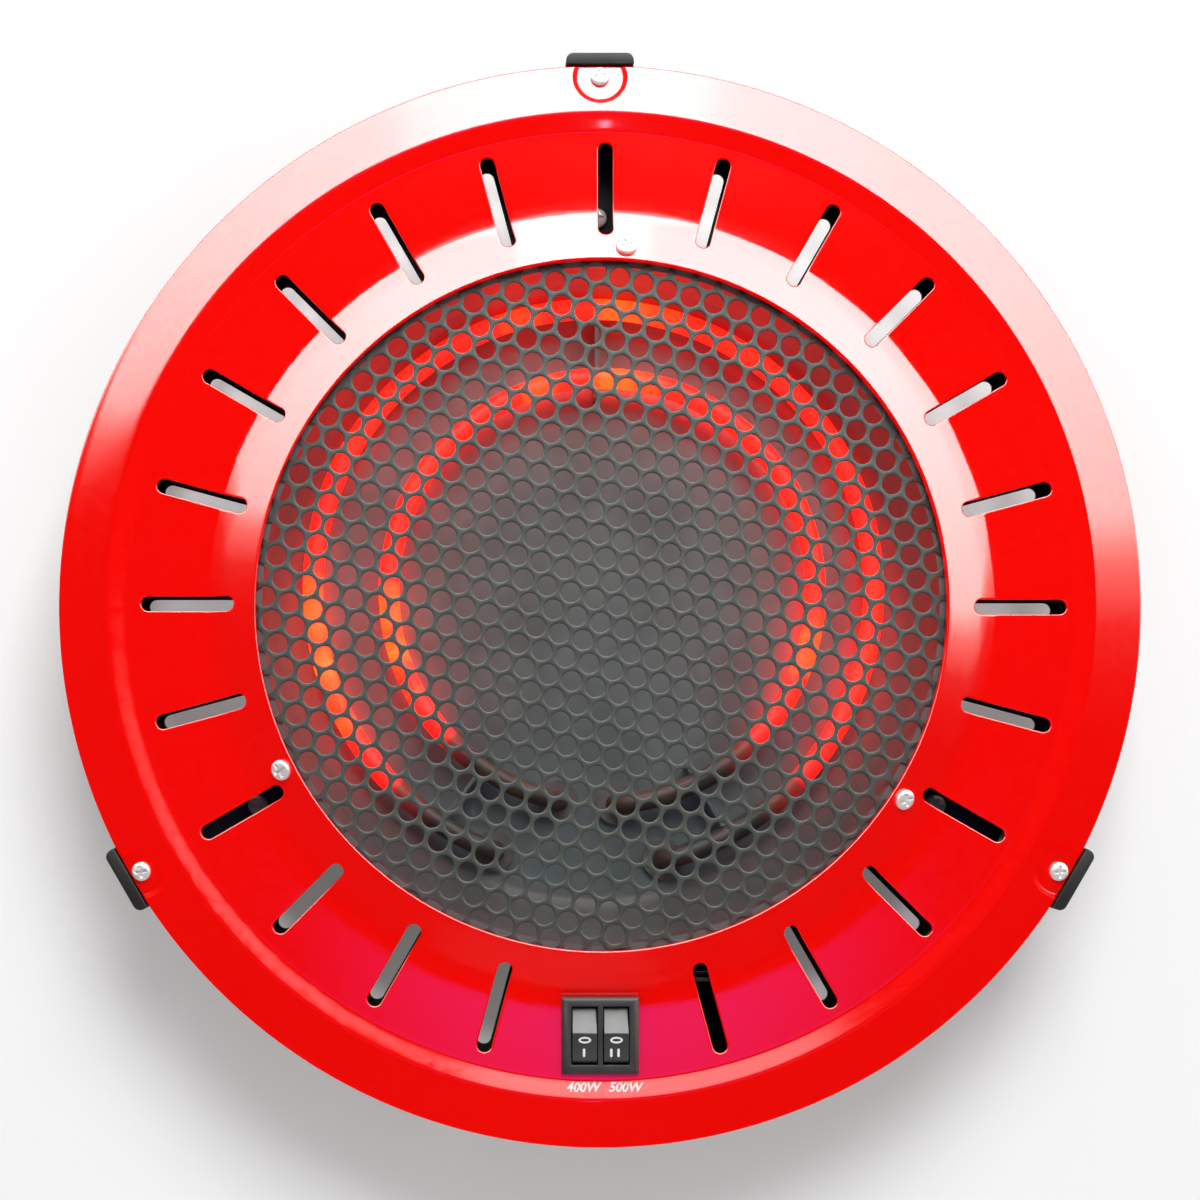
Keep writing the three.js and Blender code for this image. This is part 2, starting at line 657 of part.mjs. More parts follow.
function panProfile() {
  const corner = Array.from({ length: CORNER_STEPS }, (_, i) => {
    const angle = radians(PAN_CORNER_ANGLE) * (i + 1) / CORNER_STEPS;
    return [
      PAN_FLOOR_RADIUS + PAN_CORNER * Math.sin(angle),
      PAN_FLOOR_HEIGHT + PAN_CORNER * (1 - Math.cos(angle)),
    ];
  });
  return [
    [0, PAN_FLOOR_HEIGHT],
    [PAN_FLOOR_RADIUS, PAN_FLOOR_HEIGHT],
    ...corner,
    [PAN_BOWL_RADIUS, PAN_SHELF_HEIGHT - PAN_LIP_BEND],
    [PAN_BOWL_RADIUS + PAN_LIP_BEND, PAN_SHELF_HEIGHT],
    [PAN_SHELF_RADIUS, PAN_SHELF_HEIGHT],
    [PAN_MOUTH_RADIUS, CREASE_HEIGHT - PLATE_THICKNESS - 2 * GAP],
  ];
}

function wireWindow() {
  const low = BOX_FLOOR_HEIGHT + BOX_WALL + GAP;
  const half = WIRE_WINDOW_WIDTH / 2;
  const reach = PAN_FLOOR_RADIUS + PAN_CORNER;
  return block([-half, -BOX_INNER_RADIUS - 2 * BOX_WALL, low], [half, -reach, low + WIRE_WINDOW_HEIGHT]);
}

function overBox(bearing) {
  const { x, y } = bearingPoint(SWITCH_RADIUS, bearing);
  return y < -BOX_INNER_RADIUS && x > BOX_LEFT && x < BOX_RIGHT;
}

function makePan() {
  const low = PAN_SHELF_HEIGHT - CUT_OVERRUN;
  const high = PAN_SHELF_HEIGHT + CUT_OVERRUN;
  const strapBearings = Object.values(LEG_ANGLES);
  const open = slotBearings().filter((bearing) => !strapBearings.includes(bearing) && !overBox(bearing));
  const bolts = strapBearings.map((bearing) => {
    const { x, y } = bearingPoint(PAN_BOLT_RADIUS, bearing);
    return disc(PAN_BOLT.shank / 2 + SCREW_CLEARANCE, low, high, x, y);
  });
  const boxCut = block(
    [BOX_LEFT - GAP, -RIM_RADIUS, BOX_FLOOR_HEIGHT - GAP],
    [BOX_RIGHT + GAP, -BOX_INNER_RADIUS + GAP, RIM_HEIGHT + CUT_OVERRUN],
  );
  const ears = boxScrewPlaces().map(({ x, y }) => (
    disc(BOX_SCREW.shank / 2 + SCREW_CLEARANCE, low, high, x, y)
  ));
  const earth = disc(
    EARTH_SCREW.shank / 2 + SCREW_CLEARANCE,
    PAN_FLOOR_HEIGHT - CUT_OVERRUN,
    PAN_FLOOR_HEIGHT + CUT_OVERRUN,
    EARTH_SCREW_X,
    EARTH_SCREW_Y,
  );
  const slots = open.map((bearing) => slotTool(bearing, low, high));
  const tools = [...slots, ...bolts, ...ears, earth, boxCut, wireWindow()];
  return cut(turned(sheetOutline(panProfile(), PAN_THICKNESS)), tools);
}

// Legs and straps

const STRAP_TOP = PAN_SHELF_HEIGHT - PAN_THICKNESS - GAP;

function legOutline() {
  const outer = LEG_OUTER_RADIUS;
  const hemInner = RIM_RADIUS - 2 * PLATE_THICKNESS;
  const hemBottom = RIM_HEIGHT - RIM_HEM - GAP;
  const seat = SEAT_TOP - PLATE_THICKNESS - GAP;
  const shelf = STRAP_TOP - STRAP_THICKNESS - GAP;
  return [
    [LEG_FOOT_INNER_RADIUS, 0],
    [LEG_FOOT_OUTER_RADIUS, 0],
    [outer, LEG_SHOULDER_HEIGHT],
    [outer, RIM_HEIGHT + LEG_TIP_ABOVE_RIM],
    [RIM_RADIUS + GAP, RIM_HEIGHT + LEG_TIP_ABOVE_RIM],
    [RIM_RADIUS + GAP, hemBottom],
    [hemInner, hemBottom],
    [hemInner, seat],
    [LEG_INNER_RADIUS, seat],
    [LEG_INNER_RADIUS, shelf],
    [LEG_SHELF_RADIUS, shelf],
    [LEG_SHELF_RADIUS, LEG_SHOULDER_HEIGHT],
    [LEG_FOOT_INNER_RADIUS, LEG_SHOULDER_HEIGHT / 2],
  ];
}

function legPlan(bearing) {
  const outer = LEG_OUTER_RADIUS;
  const half = LEG_WIDTH / 2;
  const shape = new THREE.Shape();
  shape.moveTo(LEG_SHELF_RADIUS, -half);
  shape.lineTo(outer - LEG_CORNER, -half);
  shape.absarc(outer - LEG_CORNER, -half + LEG_CORNER, LEG_CORNER, -Math.PI / 2, 0);
  shape.absarc(outer - LEG_CORNER, half - LEG_CORNER, LEG_CORNER, 0, Math.PI / 2);
  shape.lineTo(LEG_SHELF_RADIUS, half);
  shape.closePath();
  const height = RIM_HEIGHT + CUT_OVERRUN;
  const options = { depth: height, bevelEnabled: false, curveSegments: CORNER_STEPS };
  const geometry = new THREE.ExtrudeGeometry(shape, options);
  return geometry.rotateZ(radians(90 - bearing));
}

function makeLeg(bearing) {
  const high = RIM_HEIGHT + CUT_OVERRUN;
  const rim = bearingPoint(SEAT_CENTRE_RADIUS, bearing);
  const strap = bearingPoint(STRAP_SCREW_RADIUS, bearing);
  const side = toSolid(radialPlate(legOutline(), LEG_WIDTH + LEG_CORNER, bearing));
  const body = side.intersect(toSolid(legPlan(bearing)));
  const rimHole = disc(
    LEG_SCREW.shank / 2 + SCREW_CLEARANCE,
    SEAT_TOP - LEG_SCREW.length - GAP,
    high,
    rim.x,
    rim.y,
  );
  const strapHole = disc(
    STRAP_SCREW.shank / 2 + SCREW_CLEARANCE,
    STRAP_TOP - STRAP_SCREW.length - GAP,
    high,
    strap.x,
    strap.y,
  );
  return toGeometry(body.subtract(toSolid(rimHole)).subtract(toSolid(strapHole)));
}

function makeStrap(bearing) {
  const bottom = STRAP_TOP - STRAP_THICKNESS;
  const outline = [
    [STRAP_INNER_RADIUS, bottom],
    [LEG_INNER_RADIUS - GAP, bottom],
    [LEG_INNER_RADIUS - GAP, STRAP_TOP],
    [STRAP_INNER_RADIUS, STRAP_TOP],
  ];
  const holes = [[STRAP_SCREW, STRAP_SCREW_RADIUS], [PAN_BOLT, PAN_BOLT_RADIUS]].map(([spec, radius]) => {
    const { x, y } = bearingPoint(radius, bearing);
    return disc(spec.shank / 2 + SCREW_CLEARANCE, bottom - CUT_OVERRUN, STRAP_TOP + CUT_OVERRUN, x, y);
  });
  return cut(radialPlate(outline, STRAP_WIDTH, bearing), holes);
}

// Screws: a domed head over a plain shank, with the underside of the head at zero height.

function screwBody({ shank, head, headHeight, length }) {
  return turned([
    [0, -length],
    [shank / 2, -length],
    [shank / 2, 0],
    [head / 2, 0],
    [head / 2, headHeight * SCREW_EDGE_SHARE],
    [head * SCREW_TOP_SHARE / 2, headHeight],
    [0, headHeight],
  ], SCREW_SEGMENTS);
}

function crossScrew(spec) {
  const half = CROSS_WIDTH / 2;
  const arm = spec.head * CROSS_SPAN_SHARE / 2;
  const depth = spec.headHeight * (1 - CROSS_DEPTH_SHARE);
  const top = spec.headHeight + CUT_OVERRUN;
  const across = block([-arm, -half, depth], [arm, half, top]);
  const along = block([-half, -arm, depth], [half, arm, top]);
  return cut(screwBody(spec), [across, along]);
}

function tiltToCone(geometry, bearing) {
  const place = bearingPoint(GRILLE_SCREW_RADIUS, bearing, plateTop(GRILLE_SCREW_RADIUS));
  geometry.rotateY(Math.atan(CONE_SLOPE)).rotateZ(radians(90 - bearing));
  return geometry.translate(place.x, place.y, place.z);
}

function grilleScrewTool(bearing) {
  const radius = GRILLE_SCREW.shank / 2 + SCREW_CLEARANCE;
  return tiltToCone(disc(radius, -CUT_OVERRUN, CUT_OVERRUN), bearing);
}

function placedScrew(geometry, radius, bearing, z) {
  const { x, y } = bearingPoint(radius, bearing);
  return geometry.rotateZ(radians(90 - bearing)).translate(x, y, z + GAP);
}

// Twin switch

const BEZEL_BASE = SHOULDER_HEIGHT + GAP;
const PIVOT_HEIGHT = BEZEL_BASE + BEZEL_HEIGHT - ROCKER_PIVOT_DROP;
const WELL_WIDTH = ROCKER_WIDTH + 2 * ROCKER_GAP;
const ROCKER_X = (ROCKER_DIVIDER + WELL_WIDTH) / 2;
const CONTACT_HEIGHT = PIVOT_HEIGHT - CONTACT_DROP;
const SWITCH_BOTTOM = BEZEL_BASE - SWITCH_BODY_DEPTH;
const TAB_BOTTOM = SWITCH_BOTTOM - TAB_DROP;
const CONTACT_TAB_Y = -SWITCH_RADIUS - CONTACT_TAB_OFFSET;

function frustum(width, length, height, chamfer) {
  const geometry = new THREE.BoxGeometry(width, length, height).translate(0, 0, height / 2);
  const place = geometry.attributes.position;
  for (let i = 0; i < place.count; i += 1) {
    if (place.getZ(i) > 0) {
      place.setX(i, place.getX(i) - Math.sign(place.getX(i)) * chamfer);
      place.setY(i, place.getY(i) - Math.sign(place.getY(i)) * chamfer);
    }
  }
  return geometry;
}

function pin(radius, reach, x) {
  const geometry = new THREE.CylinderGeometry(radius, radius, 2 * reach, SCREW_SEGMENTS);
  return geometry.rotateZ(Math.PI / 2).translate(x, -SWITCH_RADIUS, PIVOT_HEIGHT);
}

function tabSlot(x, y, width) {
  const halfX = width / 2 + GAP;
  const halfY = TAB_THICKNESS / 2 + GAP;
  const top = SWITCH_BOTTOM + SWITCH_FLOOR + GAP;
  return block([x - halfX, y - halfY, SWITCH_BOTTOM - GAP], [x + halfX, y + halfY, top]);
}

function makeSwitchHousing() {
  const rim = BEZEL_BASE + BEZEL_HEIGHT - BEZEL_CORNER;
  const skirt = frustum(BEZEL_WIDTH, BEZEL_LENGTH, BEZEL_HEIGHT - BEZEL_CORNER, 0);
  const bevel = frustum(BEZEL_WIDTH, BEZEL_LENGTH, BEZEL_CORNER, BEZEL_CORNER);
  skirt.translate(0, -SWITCH_RADIUS, BEZEL_BASE);
  bevel.translate(0, -SWITCH_RADIUS, rim);
  const halfX = SWITCH_BODY_WIDTH / 2;
  const halfY = SWITCH_BODY_LENGTH / 2;
  const body = block(
    [-halfX, -SWITCH_RADIUS - halfY, SWITCH_BOTTOM],
    [halfX, -SWITCH_RADIUS + halfY, rim],
  );
  let housing = toSolid(skirt).add(toSolid(bevel)).add(toSolid(body));
  for (const x of [-ROCKER_X, ROCKER_X]) {
    const half = ROCKER_REACH + ROCKER_GAP;
    const well = block(
      [x - WELL_WIDTH / 2, -SWITCH_RADIUS - half, SWITCH_BOTTOM + SWITCH_FLOOR],
      [x + WELL_WIDTH / 2, -SWITCH_RADIUS + half, BEZEL_BASE + BEZEL_HEIGHT + CUT_OVERRUN],
    );
    const socket = pin(PIN_RADIUS + GAP, WELL_WIDTH / 2 + PIN_ENGAGEMENT + GAP, x);
    const slots = [-SWITCH_RADIUS, CONTACT_TAB_Y].map((y) => tabSlot(x, y, TAB_RISER));
    for (const tool of [well, socket, ...slots]) {
      housing = housing.subtract(toSolid(tool));
    }
  }
  return toGeometry(housing);
}

function rockerOutline() {
  const endY = Math.sqrt(ROCKER_REACH ** 2 - ROCKER_END_HEIGHT ** 2);
  const skirtY = Math.sqrt(ROCKER_REACH ** 2 - ROCKER_SKIRT ** 2);
  const dishHeight = (ROCKER_RIDGE + ROCKER_END_HEIGHT) / 2 - ROCKER_DISH;
  const half = PLUNGER_WIDTH / 2;
  const right = [
    [half, -PLUNGER_REACH],
    [half, -ROCKER_SKIRT],
    [skirtY, -ROCKER_SKIRT],
    [ROCKER_REACH, 0],
    [endY, ROCKER_END_HEIGHT],
    [endY / 2, dishHeight],
  ];
  const left = right.map(([y, z]) => [-y, z]).reverse();
  return [...right, [0, ROCKER_RIDGE], ...left];
}

function makeRocker(x) {
  const shape = new THREE.Shape(rockerOutline().map(([y, z]) => new THREE.Vector2(y, z)));
  const body = new THREE.ExtrudeGeometry(shape, { depth: ROCKER_WIDTH, bevelEnabled: false });
  body.translate(0, 0, -ROCKER_WIDTH / 2).rotateX(Math.PI / 2).rotateZ(Math.PI / 2);
  body.rotateX(-radians(ROCKER_TRAVEL / 2)).translate(x, -SWITCH_RADIUS, PIVOT_HEIGHT);
  return join([body, pin(PIN_RADIUS, WELL_WIDTH / 2 + PIN_ENGAGEMENT, x)]);
}

function makeContact(x) {
  const geometry = new THREE.BoxGeometry(CONTACT_WIDTH, CONTACT_LENGTH, CONTACT_THICKNESS);
  return geometry.rotateX(radians(CONTACT_TRAVEL / 2)).translate(x, -SWITCH_RADIUS, CONTACT_HEIGHT);
}

function tabPlate(outline, y) {
  const shape = new THREE.Shape(outline.map(([x, z]) => new THREE.Vector2(x, z)));
  const geometry = new THREE.ExtrudeGeometry(shape, { depth: TAB_THICKNESS, bevelEnabled: false });
  return geometry.translate(0, 0, -TAB_THICKNESS / 2).rotateX(Math.PI / 2).translate(0, y, 0);
}

function makeSupplyTab() {
  const outer = ROCKER_X + TAB_RISER / 2;
  const inner = ROCKER_X - TAB_RISER / 2;
  const half = TAB_WIDTH / 2;
  const top = CONTACT_HEIGHT - CONTACT_THICKNESS / 2 - GAP;
  const bar = SWITCH_BOTTOM - GAP;
  const low = (bar + TAB_BOTTOM) / 2;
  return tabPlate([
    [-half, TAB_BOTTOM], [half, TAB_BOTTOM], [half, low], [outer, low], [outer, top], [inner, top],
    [inner, bar], [-inner, bar], [-inner, top], [-outer, top], [-outer, low], [-half, low],
  ], -SWITCH_RADIUS);
}

function makeContactTab(x) {
  const half = TAB_RISER / 2;
  const reach = CONTACT_TAB_OFFSET + TAB_THICKNESS / 2;
  const drop = reach * Math.tan(radians(CONTACT_TRAVEL / 2));
  const top = CONTACT_HEIGHT - CONTACT_THICKNESS / 2 - drop - GAP;
  const outline = [[x - half, TAB_BOTTOM], [x + half, TAB_BOTTOM], [x + half, top], [x - half, top]];
  return tabPlate(outline, CONTACT_TAB_Y);
}

// Wiring box, gland, terminal block and thermal cut-out

const BOX_TOP = TROUGH_HEIGHT - PLATE_THICKNESS - 2 * GAP;
const BOX_FLOOR_HEIGHT = TAB_BOTTOM - BOX_WIRE_ROOM;
const EAR_BASE = PAN_SHELF_HEIGHT + GAP;
const EAR_Y = -(BOX_INNER_RADIUS + BOX_EAR_LENGTH);
const GLAND_Z = BOX_FLOOR_HEIGHT + BOX_WALL + GLAND_NUT_RADIUS + GAP;

function boxScrewPlaces() {
  return [BOX_LEFT - BOX_EAR / 2, BOX_RIGHT + BOX_EAR / 2].map((x) => ({ x, y: EAR_Y }));
}

function makeBox() {
  const wall = BOX_WALL;
  const shell = toSolid(block(
    [BOX_LEFT, -BOX_OUTER_RADIUS, BOX_FLOOR_HEIGHT],
    [BOX_RIGHT, -BOX_INNER_RADIUS, BOX_TOP],
  ));
  const room = block(
    [BOX_LEFT + wall, -BOX_OUTER_RADIUS + wall, BOX_FLOOR_HEIGHT + wall],
    [BOX_RIGHT - wall, -BOX_INNER_RADIUS - wall, BOX_TOP + CUT_OVERRUN],
  );
  const ears = boxScrewPlaces().map(({ x, y }) => {
    const side = Math.sign(x);
    const near = side < 0 ? BOX_LEFT : BOX_RIGHT;
    const low = Math.min(near - side * wall / 2, near + side * BOX_EAR);
    const high = Math.max(near - side * wall / 2, near + side * BOX_EAR);
    return block(
      [low, y - BOX_EAR_LENGTH / 2, EAR_BASE],
      [high, y + BOX_EAR_LENGTH / 2, EAR_BASE + BOX_EAR_THICKNESS],
    );
  });
  const holes = boxScrewPlaces().map(({ x, y }) => (
    disc(BOX_SCREW.shank / 2 + SCREW_CLEARANCE, EAR_BASE - CUT_OVERRUN, EAR_BASE + CUT_OVERRUN, x, y)
  ));
  const body = ears.reduce((whole, ear) => whole.add(toSolid(ear)), shell.subtract(toSolid(room)));
  return cut(toGeometry(body), [...holes, glandTool(), wireWindow()]);
}

function alongFront(geometry) {
  return geometry.rotateX(Math.PI / 2).translate(GLAND_X, -BOX_OUTER_RADIUS, GLAND_Z);
}

function glandTool() {
  return alongFront(disc(GLAND_RADIUS + GAP, -CUT_OVERRUN, CUT_OVERRUN));
}

function makeGland() {
  const inside = -BOX_WALL - GAP;
  const nut = GAP + GLAND_NUT_LENGTH;
  const collar = (GLAND_RADIUS + GLAND_NUT_RADIUS) / 2;
  return alongFront(turned([
    [GLAND_BORE_RADIUS, inside - BOX_WALL],
    [collar, inside - BOX_WALL],
    [collar, inside],
    [GLAND_RADIUS, inside],
    [GLAND_RADIUS, GAP],
    [GLAND_NUT_RADIUS, GAP],
    [GLAND_NUT_RADIUS, nut],
    [GLAND_RADIUS, GLAND_LENGTH],
    [GLAND_BORE_RADIUS, GLAND_LENGTH],
    [GLAND_BORE_RADIUS, inside - BOX_WALL],
  ], ROUND_SEGMENTS));
}

const BLOCK_BASE = BOX_FLOOR_HEIGHT + BOX_WALL + GAP;
const BLOCK_TOP = BLOCK_BASE + BLOCK_SIZE.z;
const CUTOUT_TOP = REFLECTOR_FLOOR_HEIGHT - REFLECTOR_THICKNESS - GAP;
const CUTOUT_BOTTOM = CUTOUT_TOP - CUTOUT_HEIGHT;

function makeTerminalBlock() {
  return block(
    [BLOCK_X - BLOCK_SIZE.x / 2, -SWITCH_RADIUS - BLOCK_SIZE.y / 2, BLOCK_BASE],
    [BLOCK_X + BLOCK_SIZE.x / 2, -SWITCH_RADIUS + BLOCK_SIZE.y / 2, BLOCK_TOP],
  );
}

// Wires: each leaves one piece and meets the next end to end, a gap away.

function wire(points) {
  const curve = new THREE.CatmullRomCurve3(points.map(([x, y, z]) => new THREE.Vector3(x, y, z)));
  return tube(curve.getPoints(WIRE_STEPS), WIRE_DIAMETER, HEX_SIDES);
}

const TERMINAL_BOTTOM = RING_LEG_END_HEIGHT - GAP - TERMINAL_LENGTH;
const WIRE_LANES = [-7.5, -2.5, 2.5, 7.5];

// The last stretch of a wire, which comes up to the underside of a ring terminal from its rear.
function upTo({ x, y }, side) {
  const top = TERMINAL_BOTTOM - GAP;
  const d = WIRE_DIAMETER;
  return [
    [x, y + 2 * side * d, top - 2.2 * d],
    [x, y + side * d / 2, top - 1.6 * d],
    [x, y, top - 0.8 * d],
    [x, y, top],
  ];
}

// The stretch that passes from the box into the pan.
function throughWindow(x) {
  const height = BOX_FLOOR_HEIGHT + BOX_WALL + WIRE_WINDOW_HEIGHT / 2;
  return [[x, -BOX_INNER_RADIUS - 2 * BOX_WALL, height], [x, -PAN_FLOOR_RADIUS - PAN_CORNER, height]];
}

function makeWires() {
  const [innerLeft, innerRight, outerLeft, outerRight] = ringLegs();
  const [laneLeft, laneRight, laneNeutral, laneEarth] = WIRE_LANES;
  const d = WIRE_DIAMETER;
  const tabEnd = TAB_BOTTOM - GAP;
  const blockEnd = BLOCK_TOP + GAP;
  const blockEdge = BLOCK_X - BLOCK_SIZE.x / 2;
  const cutoutEnd = CUTOUT_BOTTOM - GAP;
  const boxFloor = BOX_FLOOR_HEIGHT + BOX_WALL + d;
  const earthHead = PAN_FLOOR_HEIGHT + EARTH_SCREW.headHeight + 2 * GAP;
  const bowl = -PAN_FLOOR_RADIUS;
  return {
    wire_supply: [
      [BLOCK_X, -SWITCH_RADIUS - d, blockEnd],
      [BLOCK_X, -SWITCH_RADIUS - d, blockEnd + d],
      [blockEdge - 2 * d, -SWITCH_RADIUS - d, blockEnd],
      [blockEdge / 2, -SWITCH_RADIUS - d, boxFloor + d],
      [d, -SWITCH_RADIUS, boxFloor + d],
      [0, -SWITCH_RADIUS, tabEnd - 2 * d],
      [0, -SWITCH_RADIUS, tabEnd],
    ],
    wire_left: [
      [-ROCKER_X, CONTACT_TAB_Y, tabEnd],
      [-ROCKER_X, CONTACT_TAB_Y, tabEnd - d],
      ...throughWindow(laneLeft),
      [laneLeft - d, bowl, TERMINAL_BOTTOM + 3 * d],
      ...upTo(innerLeft, -1),
    ],
    wire_right: [
      [ROCKER_X, CONTACT_TAB_Y, tabEnd],
      [ROCKER_X, CONTACT_TAB_Y, tabEnd - d],
      ...throughWindow(laneRight),
      [laneRight, bowl, TERMINAL_BOTTOM],
      [(laneRight + outerLeft.x) / 2, (bowl + outerLeft.y) / 2, TERMINAL_BOTTOM - 2 * d],
      ...upTo(outerLeft, -1),
    ],
    wire_neutral: [
      [blockEdge + 2 * d, -SWITCH_RADIUS + d, blockEnd],
      [blockEdge + 2 * d, -SWITCH_RADIUS + d, blockEnd + d],
      [blockEdge - 2 * d, -SWITCH_RADIUS + 2 * d, blockEnd],
      [blockEdge / 2, -BOX_INNER_RADIUS - 4 * d, boxFloor + d / 2],
      ...throughWindow(laneNeutral),
      [laneNeutral, (bowl + CUTOUT_Y) / 2, TERMINAL_BOTTOM],
      [-d, CUTOUT_Y, cutoutEnd - 2 * d],
      [-d, CUTOUT_Y, cutoutEnd],
    ],
    wire_earth: [
      [BLOCK_X + 2 * d, -SWITCH_RADIUS + d, blockEnd],
      [BLOCK_X + 2 * d, -SWITCH_RADIUS + d, blockEnd + d],
      [BLOCK_X - d, -BOX_INNER_RADIUS - 4 * d, blockEnd],
      [blockEdge / 2, -BOX_INNER_RADIUS - 2 * d, boxFloor + d],
      ...throughWindow(laneEarth),
      [EARTH_SCREW_X, (bowl + EARTH_SCREW_Y) / 2, TERMINAL_BOTTOM],
      [EARTH_SCREW_X, EARTH_SCREW_Y, earthHead + 2 * d],
      [EARTH_SCREW_X, EARTH_SCREW_Y, earthHead],
    ],
    wire_return_inner: [
      [1.5 * d, CUTOUT_Y - 1.5 * d, cutoutEnd],
      [1.5 * d, CUTOUT_Y - 1.5 * d, cutoutEnd - 2 * d],
      ...upTo(innerRight, 1),
    ],
    wire_return_outer: [
      [2 * d, CUTOUT_Y + d / 2, cutoutEnd],
      [2 * d, CUTOUT_Y + d / 2, cutoutEnd - 2 * d],
      [(2 * d + outerRight.x) / 2 + 2 * d, (CUTOUT_Y + outerRight.y) / 2, TERMINAL_BOTTOM],
      ...upTo(outerRight, 1),
    ],
  };
}

// Assembly

addPiece('top_plate', makePlate(), 'enamel');
addPiece('grille', makeGrille(), 'grille');
addPiece('reflector', makeReflector(), 'bright');
addPiece('lower_pan', makePan(), 'blackSteel');
addPiece('element_inner', tube(ringPath(INNER_RING), TUBE_DIAMETER), 'sheath');
addPiece('element_outer', tube(ringPath(OUTER_RING), TUBE_DIAMETER), 'sheath');

ringLegs().forEach((leg, i) => {
  addPiece(`bushing_${LEG_NAMES[i]}`, makeBushing(leg), 'ceramic');
  addPiece(`terminal_${LEG_NAMES[i]}`, makeTerminal(leg), 'brass');
});

for (const [side, bearing] of Object.entries(holderBearings())) {
  addPiece(`element_bracket_${side}`, makeHolder(bearing), 'bright');
}

for (const [side, bearing] of Object.entries(LEG_ANGLES)) {
  addPiece(`leg_${side}`, makeLeg(bearing), 'plastic');
  addPiece(`strap_${side}`, makeStrap(bearing), 'blackSteel');
  const legScrew = placedScrew(crossScrew(LEG_SCREW), SEAT_CENTRE_RADIUS, bearing, SEAT_TOP);
  const strapScrew = placedScrew(screwBody(STRAP_SCREW), STRAP_SCREW_RADIUS, bearing, STRAP_TOP);
  const panBolt = placedScrew(screwBody(PAN_BOLT), PAN_BOLT_RADIUS, bearing, PAN_SHELF_HEIGHT);
  addPiece(`leg_screw_${side}`, legScrew, 'zinc');
  addPiece(`strap_screw_${side}`, strapScrew, 'zinc');
  addPiece(`pan_bolt_${side}`, panBolt, 'zinc');
}

for (const [side, bearing] of Object.entries(GRILLE_SCREW_ANGLES)) {
  const screw = crossScrew(GRILLE_SCREW).translate(0, 0, GAP);
  addPiece(`grille_screw_${side}`, tiltToCone(screw, bearing), 'zinc');
}

addPiece('switch_housing', makeSwitchHousing(), 'plastic');
addPiece('rocker_left', makeRocker(-ROCKER_X), 'rocker');
addPiece('rocker_right', makeRocker(ROCKER_X), 'rocker');
addPiece('contact_left', makeContact(-ROCKER_X), 'brass');
addPiece('contact_right', makeContact(ROCKER_X), 'brass');
addPiece('switch_tab_supply', makeSupplyTab(), 'brass');
addPiece('switch_tab_left', makeContactTab(-ROCKER_X), 'brass');
addPiece('switch_tab_right', makeContactTab(ROCKER_X), 'brass');

addPiece('wiring_box', makeBox(), 'plastic');
boxScrewPlaces().forEach(({ x, y }, i) => {
  const height = EAR_BASE + BOX_EAR_THICKNESS + GAP;
  addPiece(['box_screw_left', 'box_screw_right'][i], screwBody(BOX_SCREW).translate(x, y, height), 'zinc');
});
addPiece(
  'earth_screw',
  screwBody(EARTH_SCREW).translate(EARTH_SCREW_X, EARTH_SCREW_Y, PAN_FLOOR_HEIGHT + GAP),
  'zinc',
);
addPiece('cable_gland', makeGland(), 'plastic');
addPiece('terminal_block', makeTerminalBlock(), 'ceramic');
addPiece('thermal_cutout', disc(CUTOUT_RADIUS, CUTOUT_BOTTOM, CUTOUT_TOP, 0, CUTOUT_Y), 'ceramic');

for (const [name, points] of Object.entries(makeWires())) {
  addPiece(name, wire(points), 'silicone');
}

export default group;
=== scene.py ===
# %% [markdown]
# # Electric brazier
# A round heater that stands on the floor: a red enamelled plate with air slots, a perforated grille over
# two glowing rings, and a twin switch. The CAD frame gives every piece its place. This lesson gives the
# pieces their looks, as surfaces worked out with numpy and materials made of nodes.

import math

import bmesh
import bpy
import numpy as np
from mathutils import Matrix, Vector
from mathutils.geometry import delaunay_2d_cdt


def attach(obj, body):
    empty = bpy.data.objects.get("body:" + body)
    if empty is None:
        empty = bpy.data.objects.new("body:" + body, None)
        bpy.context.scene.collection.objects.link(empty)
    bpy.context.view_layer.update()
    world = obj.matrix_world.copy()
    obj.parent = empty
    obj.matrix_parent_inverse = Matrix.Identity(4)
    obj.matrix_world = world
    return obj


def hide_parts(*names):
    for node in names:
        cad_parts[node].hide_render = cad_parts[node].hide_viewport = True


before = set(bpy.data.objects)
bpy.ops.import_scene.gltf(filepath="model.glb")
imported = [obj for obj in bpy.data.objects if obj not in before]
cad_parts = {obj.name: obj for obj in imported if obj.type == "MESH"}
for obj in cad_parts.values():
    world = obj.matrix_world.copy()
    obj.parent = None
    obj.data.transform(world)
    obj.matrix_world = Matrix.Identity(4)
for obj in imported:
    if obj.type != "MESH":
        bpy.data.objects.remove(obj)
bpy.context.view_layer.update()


def linked(name, data):
    """Makes an object from a mesh, a lamp or a camera, and puts it in the scene."""
    made = bpy.data.objects.new(name, data)
    bpy.context.scene.collection.objects.link(made)
    return made


# %% [markdown]
# ## Camera
# The photograph looks straight down from beside the middle, and its frame is cut so that the plate sits in
# the centre. A lens shift does the same, and keeps every level circle round. The lens follows from the
# distance and the width that the frame covers at the rim.

# %% Camera
CAMERA_PLACE = (-0.053, -0.051, 0.871)
RIM_PLANE = 0.086
FRAME_WIDTH, FRAME_MIDDLE = 0.4876, 0.0027
SENSOR = 36.0

